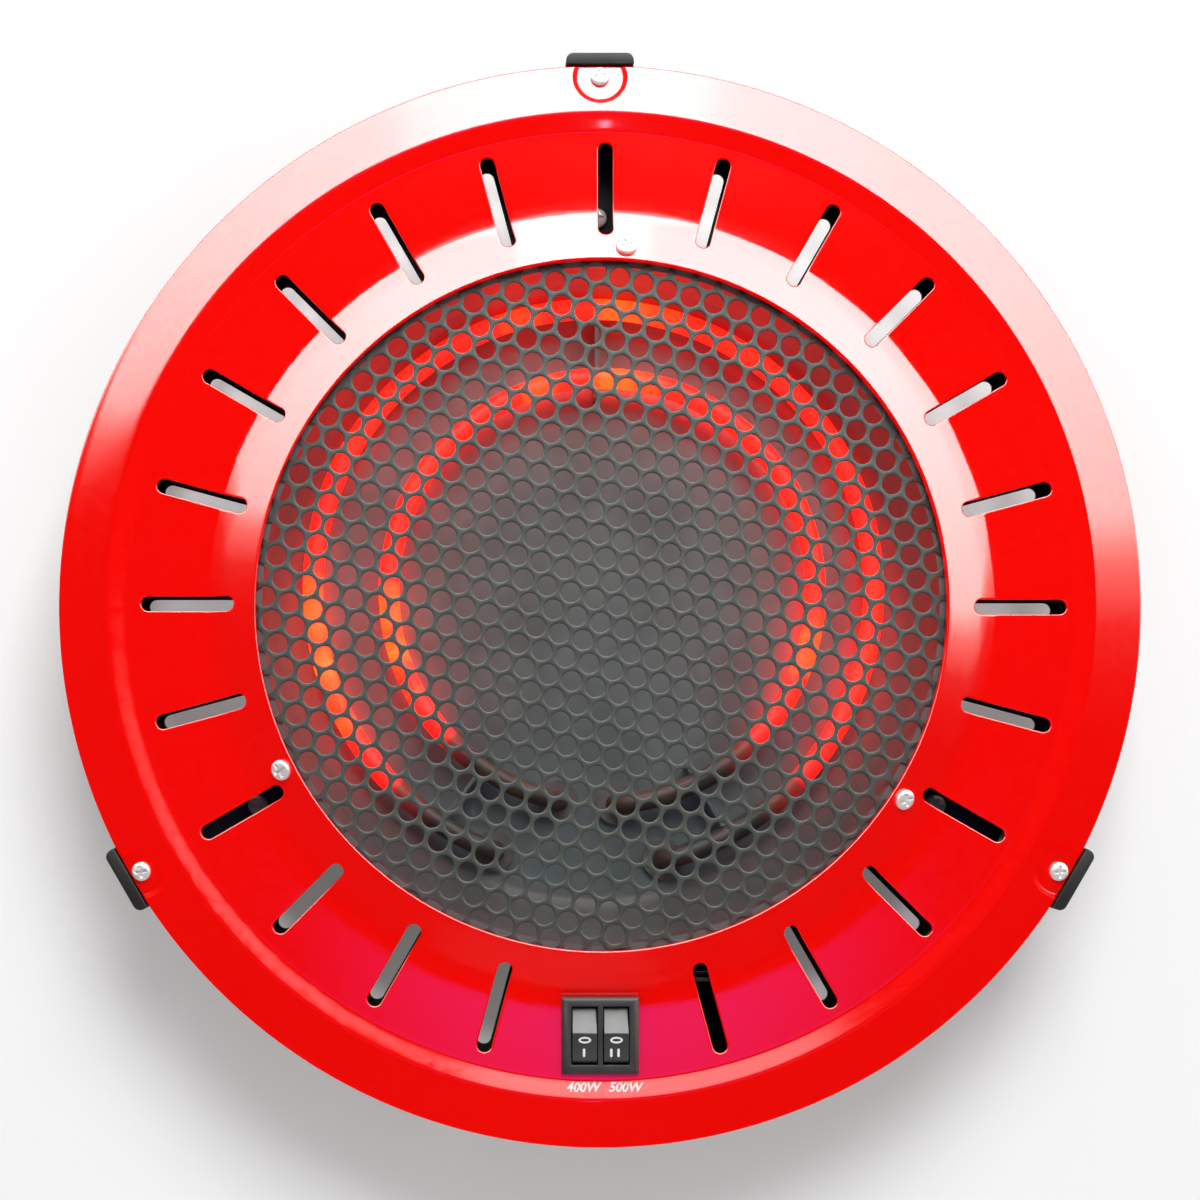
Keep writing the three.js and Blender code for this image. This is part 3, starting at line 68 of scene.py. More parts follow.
camera_data = bpy.data.cameras.new("studio_camera")
camera_data.sensor_width = SENSOR
camera_data.lens = SENSOR * (CAMERA_PLACE[2] - RIM_PLANE) / FRAME_WIDTH
camera_data.shift_x = -CAMERA_PLACE[0] / FRAME_WIDTH
camera_data.shift_y = (FRAME_MIDDLE - CAMERA_PLACE[1]) / FRAME_WIDTH
camera = linked("studio_camera", camera_data)
camera.location = CAMERA_PLACE
bpy.context.scene.camera = camera
print("lens", round(camera_data.lens, 2), "shift", round(camera_data.shift_x, 4), round(camera_data.shift_y, 4))

# %% [markdown]
# ## Meshes from numpy
# Every new surface is a grid of points in millimetres. One helper joins several grids: corners that agree
# become one vertex, so that neighbouring patches share their edge, and a quad whose corners fall together
# becomes a triangle. This suits sheet metal better than modelling by hand, as each bend is a formula.

# %% Mesh helpers
MM = 0.001
WELD, WELD_OFFSET = 1000.0, 0.3183
LATHE_STEPS = 192


def pairs(first, second):
    """Two rows of numbers, or a row and one number, as pairs."""
    return np.stack(np.broadcast_arrays(first, second), axis=-1)


def on_circle(turn):
    """The pairs (cos, sin) of angles in radians."""
    return pairs(np.cos(turn), np.sin(turn))


def raised(flat, height):
    """(x, y) points with a height added, one for all or one for each."""
    return np.concatenate([flat, np.broadcast_to(height, flat.shape[:-1])[..., None]], -1)


def rows_between(near, far, shares):
    """Rows of points between two outlines, each at its share of the way from the first."""
    return [near + (far - near) * share for share in shares]


def quads_of(grid):
    """The four corners of each cell of a grid, or of many grids: rows, columns and coordinates come last."""
    corners = [grid[..., :-1, :-1, :], grid[..., 1:, :-1, :], grid[..., 1:, 1:, :], grid[..., :-1, 1:, :]]
    return np.stack(corners, axis=-2).reshape(-1, 4, 3)


def mesh_from(name, grids, loose=(), sharp=40.0):
    """Welds grids and loose cells: corners whose places, times WELD, have the same floor become one."""
    corners = np.concatenate([quads_of(grid) for grid in grids] + list(loose)).reshape(-1, 3)
    keys = np.floor(corners * WELD + WELD_OFFSET).astype(np.int64)
    _, first, index = np.unique(keys, axis=0, return_index=True, return_inverse=True)
    index = index.reshape(-1, 4)
    same = index == np.roll(index, -1, axis=1)
    folded = (index[:, 0] == index[:, 2]) | (index[:, 1] == index[:, 3])
    whole = index[(same.sum(1) == 0) & ~folded]
    narrow = (same.sum(1) == 1) & ~folded
    corner = index[narrow][~same[narrow]].reshape(-1, 3)
    mesh = bpy.data.meshes.new(name)
    mesh.from_pydata(corners[first] * MM, [], whole.tolist() + corner.tolist())
    work = bmesh.new()
    work.from_mesh(mesh)
    bmesh.ops.recalc_face_normals(work, faces=work.faces)
    work.to_mesh(mesh)
    work.free()
    smooth(mesh, sharp)
    return mesh


def smooth(mesh, sharp):
    """Smooth shading, but for edges that turn by more than the angle, in degrees."""
    mesh.polygons.foreach_set("use_smooth", np.ones(len(mesh.polygons), bool))
    mesh.set_sharp_from_angle(angle=math.radians(sharp))


def baked(holder):
    """The mesh of an object with its modifiers applied. The object itself is removed."""
    depsgraph = bpy.context.evaluated_depsgraph_get()
    result = bpy.data.meshes.new_from_object(holder.evaluated_get(depsgraph))
    bpy.data.objects.remove(holder)
    return result


def place(name, mesh, finish, slot, node=None, body="base"):
    """Makes the object with its finish, and says what it rides on and what it stands for. The slot is not used."""
    piece = linked(name, mesh)
    mesh.materials.clear()
    mesh.materials.append(finish)
    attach(piece, body)
    if node is not None:
        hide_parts(node)
    print(name, len(mesh.polygons), "faces")


def polar(radius, bearing, height):
    """A point from its radius, its bearing in degrees clockwise from the rear, and its height."""
    turn = np.radians(bearing)
    radius, turn, height = np.broadcast_arrays(radius, turn, height)
    return np.stack([radius * np.sin(turn), radius * np.cos(turn), height], axis=-1)


def turned(profile):
    """A profile of (radius, height) pairs carried round the vertical axis, one column for each step."""
    bearing = np.linspace(0.0, 360.0, LATHE_STEPS + 1)
    bearing[-1] = 0.0
    return polar(profile[:, 0, None], bearing, profile[:, 1, None])


def arc(centre, radius, start, end, steps):
    """Points (radius, height) on a circle in the profile plane, between two angles in degrees."""
    return np.array(centre) + radius * on_circle(np.radians(np.linspace(start, end, steps + 1)))


def smoothstep(value):
    """Nought below 0, one above 1, and 3t^2 - 2t^3 between."""
    t = np.clip(value, 0.0, 1.0)
    return t * t * (3.0 - 2.0 * t)


# %% [markdown]
# ## Finishes
# Each finish is a material of nodes. Three node groups hold what several of them share: a fine grain for
# paint and plastic, a slow change of tone, and scattered specks. They give heights, colours and masks, and
# the shader stays in the material. Patterns read object coordinates, so they stay on the piece.

# %% Node helpers
FLOAT, COLOUR = "NodeSocketFloat", "NodeSocketColor"
MIX_FIRST, MIX_SECOND, MIX_RESULT = 6, 7, 2


def join(tree, value, socket):
    """Links an output to a socket, or writes a plain value on it."""
    if isinstance(value, bpy.types.NodeSocket):
        tree.links.new(value, socket)
    else:
        socket.default_value = value


def add(tree, kind, settings=None, *values, **inputs):
    """Adds a shader node. Values go to its first sockets in turn, and named ones to the sockets of that name."""
    made = tree.nodes.new(kind)
    for key, value in (settings or {}).items():
        setattr(made, key, value)
    for key, value in [*enumerate(values), *inputs.items()]:
        join(tree, value, made.inputs[key])
    return made


def feed(node, values):
    """Links outputs to a node's sockets, or writes plain values on them, by the sockets' names."""
    for label, value in values.items():
        join(node.id_data, value, node.inputs[label])


def math_node(tree, operation, *values):
    """One step of arithmetic on numbers."""
    return add(tree, "ShaderNodeMath", {"operation": operation}, *values).outputs[0]


def times(tree, first, second):
    """The product of two numbers."""
    return math_node(tree, "MULTIPLY", first, second)


def vector_node(tree, operation, *values):
    """One step of arithmetic on places or directions."""
    made = add(tree, "ShaderNodeVectorMath", {"operation": operation}, *values)
    return made.outputs["Value" if operation in ("DOT_PRODUCT", "LENGTH") else "Vector"]


def mix(tree, share, first, second):
    """A colour between two colours."""
    made = add(tree, "ShaderNodeMix", {"data_type": "RGBA"}, share)
    join(tree, first, made.inputs[MIX_FIRST])
    join(tree, second, made.inputs[MIX_SECOND])
    return made.outputs[MIX_RESULT]


def ramp(tree, value, low, high, start=0.0, end=1.0):
    """A number carried from one range to another, and held at its ends."""
    settings = {"interpolation_type": "SMOOTHSTEP"}
    return add(tree, "ShaderNodeMapRange", settings, value, low, high, start, end).outputs[0]


def colour_ramp(tree, value, stops):
    """A colour that follows a number through stops, each a place and a colour."""
    made = add(tree, "ShaderNodeValToRGB", None, value)
    for at, _ in stops[1:-1]:
        made.color_ramp.elements.new(at)
    for element, (at, colour) in zip(made.color_ramp.elements, stops):
        element.position, element.color = at, colour
    return made.outputs["Color"]


def object_place(tree):
    """Object coordinates."""
    return add(tree, "ShaderNodeTexCoord").outputs["Object"]


def radius_of(tree):
    """Distance from the vertical axis: the length of the object coordinates with the height left out."""
    return vector_node(tree, "LENGTH", vector_node(tree, "MULTIPLY", object_place(tree), (1, 1, 0)))


def attribute(tree, name):
    """A number that the mesh carries under a name."""
    return add(tree, "ShaderNodeAttribute", {"attribute_name": name}).outputs["Fac"]


def line_noise(tree, way, scale, detail):
    """Noise along one number."""
    settings = {"noise_dimensions": "1D"}
    return add(tree, "ShaderNodeTexNoise", settings, W=way, Scale=scale, Detail=detail).outputs["Fac"]


def group(name, inputs, output, kind):
    """An empty node group with named inputs and one output. Returns the tree and its two end nodes."""
    tree = bpy.data.node_groups.new(name, "ShaderNodeTree")
    for label, sort, value in inputs:
        socket = tree.interface.new_socket(name=label, in_out="INPUT", socket_type=sort)
        socket.default_value = value
    tree.interface.new_socket(name=output, in_out="OUTPUT", socket_type=kind)
    return tree, tree.nodes.new("NodeGroupInput").outputs, tree.nodes.new("NodeGroupOutput")


def use(tree, shared, **inputs):
    """Places a node group with its own values, and returns its output."""
    return add(tree, "ShaderNodeGroup", {"node_tree": shared}, **inputs).outputs[0]


def material(name, values):
    """A Principled material. Its constant values go straight onto the shader's own sockets."""
    made = bpy.data.materials.new(name)
    made.use_nodes = True
    feed(inside(made)[1], values)
    return made


def inside(finish):
    """The node tree of a finish, and its shader."""
    return finish.node_tree, finish.node_tree.nodes["Principled BSDF"]


def overlaid(finish, share, colour):
    """Mixes a second colour over the base colour that a finish has."""
    tree, shader = inside(finish)
    base = shader.inputs["Base Color"]
    join(tree, mix(tree, share, base.links[0].from_socket, colour), base)


def grey(level, warm=0.0):
    """A neutral colour with its alpha, a little warm where the second value is above nought."""
    return (level * (1 + warm), level, level * (1 - warm), 1.0)


def relief(shader, height, strength, distance):
    """Bump from a height, in metres, linked to the shader's normal."""
    bump = add(shader.id_data, "ShaderNodeBump", Strength=strength, Distance=distance, Height=height)
    feed(shader, {"Normal": bump.outputs[0]})


# %% Shared node groups
TONE_EDGE, TONE_DETAIL = (0.35, 0.65), 3.0

grain_group, given, out = group("fine_grain", [("Scale", FLOAT, 900.0), ("Detail", FLOAT, 2.0)], "Height", FLOAT)
noise = add(grain_group, "ShaderNodeTexNoise", Vector=object_place(grain_group), Scale=given["Scale"],
            Detail=given["Detail"])
feed(out, {"Height": noise.outputs["Fac"]})

tone_group, given, out = group(
    "slow_tone", [("Color", COLOUR, grey(0.5)), ("Other", COLOUR, grey(0.4)), ("Scale", FLOAT, 20.0)], "Color", COLOUR)
noise = add(tone_group, "ShaderNodeTexNoise", Vector=object_place(tone_group), Scale=given["Scale"],
            Detail=TONE_DETAIL)
share = ramp(tone_group, noise.outputs["Fac"], *TONE_EDGE)
feed(out, {"Color": mix(tone_group, share, given["Color"], given["Other"])})

speck_group, given, out = group("specks", [("Scale", FLOAT, 400.0), ("Size", FLOAT, 0.12)], "Mask", FLOAT)
cells = add(speck_group, "ShaderNodeTexVoronoi", Vector=object_place(speck_group), Scale=given["Scale"])
feed(out, {"Mask": math_node(speck_group, "LESS_THAN", cells.outputs["Distance"], given["Size"])})
print("node groups:", [g.name for g in bpy.data.node_groups])

# %% [markdown]
# ## The finishes themselves
# The enamel is a red glaze over pressed steel: a clear coat gives the sharp reflections, and a faint bump the
# orange peel that a sprayed glaze has. The coat is turned down in the groove round a screw seat, and where the
# plate is seen at a slant, so that it stays red from the side. The grille's paint is satin, with a painted shade
# at its edge, where the sheet goes under the plate: there it turns near black. The rings carry their heat as an
# attribute on the mesh, which the emission reads.

# %% Enamel, paints and plastics
GRAIN_EDGE = (0.3, 0.7)
SLANT, DULL_COAT, SPECULAR = (0.30, 0.38), 0.05, (0.03, 0.5)


def toned(name, first, second, scale, values, grain=900.0, detail=2.0, bump=0.2, depth=0.00005, rough=None):
    """A finish with a slow change between two colours, a fine grain in its relief and in its roughness."""
    made = material(name, values)
    tree, shader = inside(made)
    feed(shader, {"Base Color": use(tree, tone_group, Color=first, Other=second, Scale=scale)})
    fine = use(tree, grain_group, Scale=grain, Detail=detail)
    relief(shader, fine, bump, depth)
    if rough is not None:
        feed(shader, {"Roughness": ramp(tree, fine, *GRAIN_EDGE, *rough)})
    return made


enamel = toned("red_enamel", (0.95, 0.0023, 0.0011, 1), (0.93, 0.0020, 0.0009, 1), 7.0,
               {"Coat Weight": 1.0, "Coat Roughness": 0.03, "Coat IOR": 1.6, "IOR": 1.5},
               grain=330.0, detail=1.0, bump=0.12, depth=0.0001, rough=(0.10, 0.16))
tree, shader = inside(enamel)
slanting = add(tree, "ShaderNodeLayerWeight", Blend=0.5).outputs["Facing"]
shine = times(tree, ramp(tree, attribute(tree, "groove"), *GRAIN_EDGE, 1.0, 0.0),
              ramp(tree, slanting, *SLANT, 1.0, DULL_COAT))
feed(shader, {"Coat Weight": shine, "Specular IOR Level": ramp(tree, shine, 0.0, 1.0, *SPECULAR)})
black_steel = toned("black_steel", grey(0.010), grey(0.014), 30.0, {"Coat Weight": 0.3, "Coat Roughness": 0.3},
                    grain=1100.0, rough=(0.38, 0.5))
leg_plastic = toned("black_plastic", grey(0.010), grey(0.013), 60.0, {"Specular IOR Level": 0.3}, grain=1500.0,
                    bump=0.35, depth=0.00006, rough=(0.4, 0.55))
switch_plastic = toned("switch_plastic", grey(0.030), grey(0.036), 90.0, {}, grain=2200.0, bump=0.3,
                       depth=0.00004, rough=(0.35, 0.48))
rocker_plastic = toned("rocker_plastic", grey(0.045), grey(0.052), 90.0, {}, grain=2200.0, bump=0.2,
                       depth=0.00003, rough=(0.28, 0.4))
ink = toned("white_print", grey(0.82), grey(0.74), 300.0, {"Roughness": 0.5}, grain=1500.0)
zinc = toned("zinc_screw", grey(0.82), grey(0.72, 0.02), 500.0, {"Metallic": 0.4}, grain=1600.0,
             bump=0.15, rough=(0.3, 0.45))
brass = toned("brass_contact", (0.75, 0.55, 0.22, 1), (0.62, 0.42, 0.16, 1), 200.0, {"Metallic": 1.0},
              rough=(0.22, 0.4))
silicone = toned("silicone_wire", grey(0.5, 0.04), grey(0.42, 0.05), 120.0, {}, rough=(0.5, 0.7))

# %% Ceramic and grille paint
SHADED_SHEET_EDGE = (0.1379, 0.1388)

ceramic = toned("ceramic", grey(0.13, 0.08), grey(0.09, 0.1), 90.0, {"Roughness": 0.7}, grain=1400.0, detail=3.0,
                bump=0.3, depth=0.00006)
overlaid(ceramic, use(ceramic.node_tree, speck_group, Scale=900.0, Size=0.16), grey(0.05, 0.08))
grille_paint = toned("grille_paint", (0.040, 0.045, 0.041, 1), (0.034, 0.039, 0.035, 1), 25.0, {}, grain=1300.0,
                     bump=0.3, depth=0.00008, rough=(0.45, 0.62))
tree = grille_paint.node_tree
# Painted shade: beyond the outer holes the sheet turns near black, in place of the dark gap under the plate's rounded
# opening.
overlaid(grille_paint, ramp(tree, radius_of(tree), *SHADED_SHEET_EDGE), grey(0.002))

# %% Reflector finish
SHADED_DISH_WALL = (0.1165, 0.1215)

bright_steel = material("bright_reflector", {"Metallic": 0.5})
tree, shader = inside(bright_steel)
tone = use(tree, tone_group, Color=(0.205, 0.245, 0.240, 1), Other=(0.165, 0.195, 0.190, 1), Scale=30.0)
# Painted shade: on the dish's wall the steel becomes a dull dark grey with little metal and gloss, so that the wall
# under the grille shows no bright reflection.
wall = ramp(tree, radius_of(tree), *SHADED_DISH_WALL)
lathe = line_noise(tree, radius_of(tree), 1500.0, 2.0)
feed(shader, {
    "Base Color": mix(tree, wall, tone, grey(0.13)),
    "Metallic": ramp(tree, wall, 0.0, 1.0, 0.5, 0.0),
    "Specular IOR Level": ramp(tree, wall, 0.0, 1.0, 0.5, 0.2),
    "Roughness": ramp(tree, lathe, *GRAIN_EDGE, 0.30, 0.46),
})
relief(shader, lathe, 0.25, 0.00005)

# %% Heating sheath
GLOW = 14.0
STREAKS, STREAK_SCALE = (-0.12, 0.10), 0.05
GLOW_STOPS = [(0.0, (0, 0, 0, 1)), (0.25, (0.02, 0.0002, 0.0001, 1)), (0.55, (0.25, 0.0008, 0.0004, 1)),
              (0.78, (0.5, 0.0018, 0.0006, 1)), (0.93, (0.6, 0.014, 0.0012, 1)), (1.0, (0.6, 0.026, 0.002, 1))]

sheath = toned("heating_sheath", grey(0.02), (0.05, 0.03, 0.022, 1), 60.0,
               {"Roughness": 0.55, "Emission Strength": GLOW}, grain=1200.0, detail=3.0, bump=0.4, depth=0.0001)
tree, shader = inside(sheath)
heat = attribute(tree, "hotness")
streaks = ramp(tree, line_noise(tree, attribute(tree, "way_round"), STREAK_SCALE, 3.0), *GRAIN_EDGE, *STREAKS)
uneven = math_node(tree, "ADD", heat, times(tree, heat, streaks))
feed(shader, {"Emission Color": colour_ramp(tree, uneven, GLOW_STOPS)})
print("materials:", [m.name for m in bpy.data.materials])

# %% [markdown]
# ## Red plate
# The plate is one pressed sheet. Its height over the floor follows from the radius alone: straight cones that
# meet in soft bends. A soft bend is `w * log(1 + exp((r - at) / w))`, a ramp that starts at radius `at` and
# rounds the corner over a width `w`. Around the slots the grid changes from polar to the shape of the slot.
# The whole ring of slots stands a little aside, as in the photograph. At the opening the cone turns down over a
# tight bend.

# %% Height of the plate
SHEET = 1.2
TOP_HEIGHT = 96.15
CONE = 0.572
BENDS = [(139.5, 0.01, -CONE), (158.0, 1.5, CONE + 0.0265), (192.6, 0.2, 0.3335), (200.0, 0.25, -0.525)]
SECTORS, HALF_SECTOR, COLUMNS = 24, 7.5, 20
SECTOR_TURN = np.linspace(-HALF_SECTOR, HALF_SECTOR, COLUMNS + 1)
RIM_RADIUS, RIM_ROLL, RIM_FOOT, UNDER_RIM = 219.2, 0.8, 82.6, 218.8


def plate_height(radius):
    """Height of the top face: sum of gain * w * log(1 + exp((r - at) / w)) over the bends."""
    return TOP_HEIGHT + sum(gain * width * np.logaddexp(0.0, (radius - at) / width) for at, width, gain in BENDS)


def plate_slope(radius):
    """Slope of the top face: sum of gain / (1 + exp(-(r - at) / w))."""
    return sum(gain / (1.0 + np.exp(-(radius - at) / width)) for at, width, gain in BENDS)


def under_height(radius):
    """Height of the lower face: the sheet's thickness, measured square to its slope."""
    return plate_height(radius) - SHEET * np.sqrt(1.0 + plate_slope(radius) ** 2)


def all_round():
    """The bearings of every column, from the left side of the first sector all the way round."""
    bearing = np.linspace(-HALF_SECTOR, 360.0 - HALF_SECTOR, SECTORS * COLUMNS + 1)
    bearing[-1] = -HALF_SECTOR
    return bearing


def both_faces(radii, bearing):
    """The plate's two faces over rows of radii, first the upper and then the lower."""
    radius = [np.array(row)[:, None] for row in radii]
    return [polar(radius[0], bearing, plate_height(radius[0])), polar(radius[1], bearing, under_height(radius[1]))]


def laid(rows, bearing, height):
    """Rows of (radius, bearing) in a sector's own frame, turned to its bearing and given a height."""
    return polar(rows[..., 0], rows[..., 1] + bearing, height)


# %% Slots of the plate
CAP_PART, SIDE_MIDDLE = 4, 8
SIDE_STEPS = 2 * CAP_PART + SIDE_MIDDLE
SECTOR_INNER, SECTOR_OUTER = 146.6, 191.0
SIDE_BREAKS = (157.0, 183.0)
SLOT_CAPS, SLOT_HALF, SLOT_ROUND, SLOT_MARGIN, CAP_TURN = (152.9, 185.05), 3.0, 0.4, 0.9, 50.0
RING_ASIDE, SLOT_ASIDE = (1.54, 0.48), 0.67
WINDOW = (13.8, 159.5, 188.5)
SECTOR_SHARES = (1.0, 0.7, 0.4, 0.15, 0.0)
EDGE_STEPS = np.radians([90.0, 60.0, 30.0, 0.0])
BACK_ROWS = [8, 4, 2, 1, 0]


def side_radii():
    """Radii along a sector's side: close together next to the ends of the slot."""
    inner, outer = SIDE_BREAKS
    middle = np.linspace(inner, outer, SIDE_MIDDLE + 1)
    return np.concatenate([np.linspace(SECTOR_INNER, inner, CAP_PART + 1), middle[1:],
                           np.linspace(outer, SECTOR_OUTER, CAP_PART + 1)[1:]])


def sector_edge():
    """The sector's outline as (radius, bearing): inner arc, right side, outer arc, left side."""
    side = side_radii()
    inner = pairs(SECTOR_INNER, SECTOR_TURN[:-1])
    outer = pairs(SECTOR_OUTER, SECTOR_TURN[:0:-1])
    return np.concatenate([inner, pairs(side[:-1], HALF_SECTOR), outer, pairs(side[:0:-1], -HALF_SECTOR), inner[:1]])


def stadium(offset):
    """A slot's outline as (x, y): two half circles and two straights, in step with the sector's outline."""
    reach = SLOT_HALF + offset
    cap = np.radians(np.linspace(-CAP_TURN, CAP_TURN, COLUMNS + 1))
    corner = np.radians(np.linspace(CAP_TURN, 90.0, CAP_PART + 1))
    inner_y, outer_y = SLOT_CAPS
    inner = pairs(reach * np.sin(cap), inner_y - reach * np.cos(cap))
    bend = pairs(reach * np.sin(corner), -reach * np.cos(corner))
    line = pairs(reach, np.linspace(inner_y, outer_y, SIDE_MIDDLE + 1)[1:-1])
    rise = bend * [1, -1] + [0, outer_y]
    right = np.concatenate([bend[:-1] + [0, inner_y], [[reach, inner_y]], line, rise[:0:-1]])
    outer = pairs(reach * np.sin(-cap), outer_y + reach * np.cos(cap))
    left = np.concatenate([outer[-1:], right[:0:-1] * [-1, 1]])
    return np.concatenate([inner[:-1], right, outer[:-1], left, inner[:1]])


def slot_shift(bearing):
    """How far a slot stands from the regular pattern, as (x, y) in its own frame: the ring's shift and turn."""
    cos, sin = math.cos(math.radians(bearing)), math.sin(math.radians(bearing))
    right, back = RING_ASIDE
    return np.array([SLOT_ASIDE + right * cos - back * sin, right * sin + back * cos])


def window(offset):
    """The outline of the switch's window as (x, y), with as many points as a slot has."""
    half, inner_y, outer_y = WINDOW[0] + offset, WINDOW[1] - offset, WINDOW[2] + offset
    across = np.linspace(-half, half, COLUMNS + 1)
    along = np.linspace(inner_y, outer_y, SIDE_STEPS + 1)
    inner, outer = pairs(across[:-1], inner_y), pairs(across[:0:-1], outer_y)
    return np.concatenate([inner, pairs(half, along[:-1]), outer, pairs(-half, along[:0:-1]), inner[:1]])


def as_polar(points):
    """(x, y) in a sector's own frame, with y outwards, as (radius, bearing)."""
    return pairs(np.hypot(points[:, 0], points[:, 1]), np.degrees(np.arctan2(points[:, 0], points[:, 1])))


def sector(bearing, outline):
    """A sector with its opening: rows from the sector's edge to the opening, over its round edge and below."""
    shift = slot_shift(bearing) if outline is stadium else 0.0
    rows = rows_between(as_polar(outline(SLOT_MARGIN) + shift), sector_edge(), SECTOR_SHARES)
    rows += [as_polar(outline(SLOT_ROUND * (1 - math.cos(step))) + shift) for step in EDGE_STEPS]
    drops = [0.0] * len(SECTOR_SHARES) + [SLOT_ROUND * (1 - math.sin(step)) for step in EDGE_STEPS]
    rows = np.stack(rows)
    back = rows[BACK_ROWS]
    return np.concatenate([laid(rows, bearing, plate_height(rows[..., 0]) - np.array(drops)[:, None]),
                           laid(back, bearing, under_height(back[..., 0]))])


# %% Lip and screw seats
LIP_RADII = [203.0, 204.5, 207.0, 210.0, 213.0, 216.5]
LIP_ROWS, UNDER_LIP_ROWS = np.array(LIP_RADII + [RIM_RADIUS]), np.array(LIP_RADII + [UNDER_RIM])
SEAT_CENTRE, SEAT_RADIUS, SEAT_FLOOR, SEAT_TILT = 215.0, 10.8, 85.2, 0.17
SEAT_BEARINGS = (0, 120, 240)
UNDER_SEAT_RADIUS, UNDER_SEAT_FLOOR = 12.0, 84.8
SEAT_WALL = [(0.5, 1.0), (0.25, 0.97), (0.1, 0.85), (-1.35, 0.15), (-1.55, 0.03), (-1.9, 0.0)]
SEAT_SHARES, UNDER_SHARES, FLOOR_SHARES = (1.0, 0.7, 0.42, 0.2, 0.07), (1.0, 0.6, 0.25, 0.0), (0.0, 0.35, 0.7, 1.0)
GROOVE, GROOVE_LOW = (9.3, 11.1), 85.0
RIM_WALL = [(220.0, 82.7), (219.85, 82.48), (219.6, 82.4), (219.0, 82.4), (UNDER_RIM, RIM_FOOT)]


def lip_edge(rows):
    """The lip's own part of a sector, from the rim up the left side, along the inside and down the right."""
    return np.concatenate([pairs(rows[:0:-1], -HALF_SECTOR), pairs(rows[0], SECTOR_TURN[:-1]),
                           pairs(rows, HALF_SECTOR)])


def seat_arc(radius, rim):
    """The part of the seat's circle inside the rim, as (radius, bearing), from its left end to its right."""
    end = math.acos((rim ** 2 - SEAT_CENTRE ** 2 - radius ** 2) / (2 * SEAT_CENTRE * radius))
    turn = np.linspace(-end, end - 2 * math.pi, 2 * len(LIP_RADII) + COLUMNS + 1)
    ends = as_polar(pairs(radius * np.sin(turn), SEAT_CENTRE + radius * np.cos(turn)))
    ends[[0, -1], 0] = rim
    return ends


def seat_level(radius, bearing, low=SEAT_FLOOR, tilt=SEAT_TILT):
    """Height of a seat's floor, which slopes down towards the rim like the lip, only less."""
    return low + tilt * (RIM_RADIUS - radius * np.cos(np.radians(bearing)))


def seat_floor(inner, rim, low, bearing, tilt=SEAT_TILT):
    """The floor of a seat: straight rows from its arc out to the rim."""
    outer = pairs(rim, np.linspace(inner[0, 1], inner[-1, 1], len(inner)))
    rows = np.stack(rows_between(inner, outer, FLOOR_SHARES))
    return laid(rows, bearing, seat_level(rows[..., 0], rows[..., 1], low, tilt))


def rim_line(rows, level, middle, bearing):
    """Where a sector with a seat meets the rim, as (bearing, z): left side, the seat's floor, right side."""
    left, right = pairs(rows[:, 0, 1], level[:, 0]), pairs(rows[::-1, -1, 1], level[::-1, -1])
    return np.concatenate([left, middle, right]) + [bearing, 0]


def seat_sector(bearing):
    """The lip of a sector with a seat: its slope, the seat's wall and floor, and the rim line."""
    rows = rows_between(seat_arc(SEAT_RADIUS + SEAT_WALL[0][0], RIM_RADIUS), lip_edge(LIP_ROWS), SEAT_SHARES)
    level = [plate_height(row[:, 0]) for row in rows]
    for offset, share in SEAT_WALL:
        ring = seat_arc(SEAT_RADIUS + offset, RIM_RADIUS)
        rows.append(ring)
        low = seat_level(ring[:, 0], ring[:, 1])
        level.append(low + (np.maximum(plate_height(ring[:, 0]), low) - low) * share)
    rows, level = np.stack(rows), np.stack(level)
    flat = np.linspace(rows[-1, 0, 1], rows[-1, -1, 1], rows.shape[1])[1:-1]
    line = rim_line(rows, level, pairs(flat, seat_level(RIM_RADIUS, flat)), bearing)
    return [laid(rows, bearing, level), seat_floor(rows[-1], RIM_RADIUS, SEAT_FLOOR, bearing)], line


def under_seat(bearing):
    """The lower face of such a sector: the same pattern about a wider circle, with no round edges."""
    near = seat_arc(UNDER_SEAT_RADIUS, UNDER_RIM)
    rows = np.stack(rows_between(near, lip_edge(UNDER_LIP_ROWS), UNDER_SHARES))
    level = under_height(rows[..., 0])
    slope = np.concatenate([laid(rows, bearing, level), laid(near, bearing, UNDER_SEAT_FLOOR)[None]])
    flat = np.linspace(near[0, 1], near[-1, 1], len(near))
    line = rim_line(rows, level, pairs(flat, UNDER_SEAT_FLOOR), bearing)
    return [slope, seat_floor(near, UNDER_RIM, UNDER_SEAT_FLOOR, bearing, 0.0)], line


def plain_lip(bearing):
    """The lip of a plain sector, its lower face, and the two lines where they meet the rim."""
    turn = SECTOR_TURN + bearing
    lines = pairs(turn, plate_height(RIM_RADIUS)), pairs(turn, under_height(UNDER_RIM))
    return both_faces((LIP_ROWS, UNDER_LIP_ROWS), turn), *lines


def rolled(line):
    """The rim: the lip's edge carried over a round bend, down the wall and in to its lower edge."""
    bearing, start = line[:, 0], line[:, 1]
    turn = np.radians(np.linspace(0, 90, 7))[:, None]
    bend = polar(RIM_RADIUS + RIM_ROLL * np.sin(turn), bearing, start - RIM_ROLL * (1 - np.cos(turn)))
    return np.concatenate([bend] + [polar(radius, bearing, height)[None] for radius, height in RIM_WALL])


def inner_rim(line):
    """The inside of the rim, from its lower edge up to the lower face of the lip."""
    return np.stack([polar(UNDER_RIM, line[:, 0], height) for height in (RIM_FOOT, line[:, 1])])


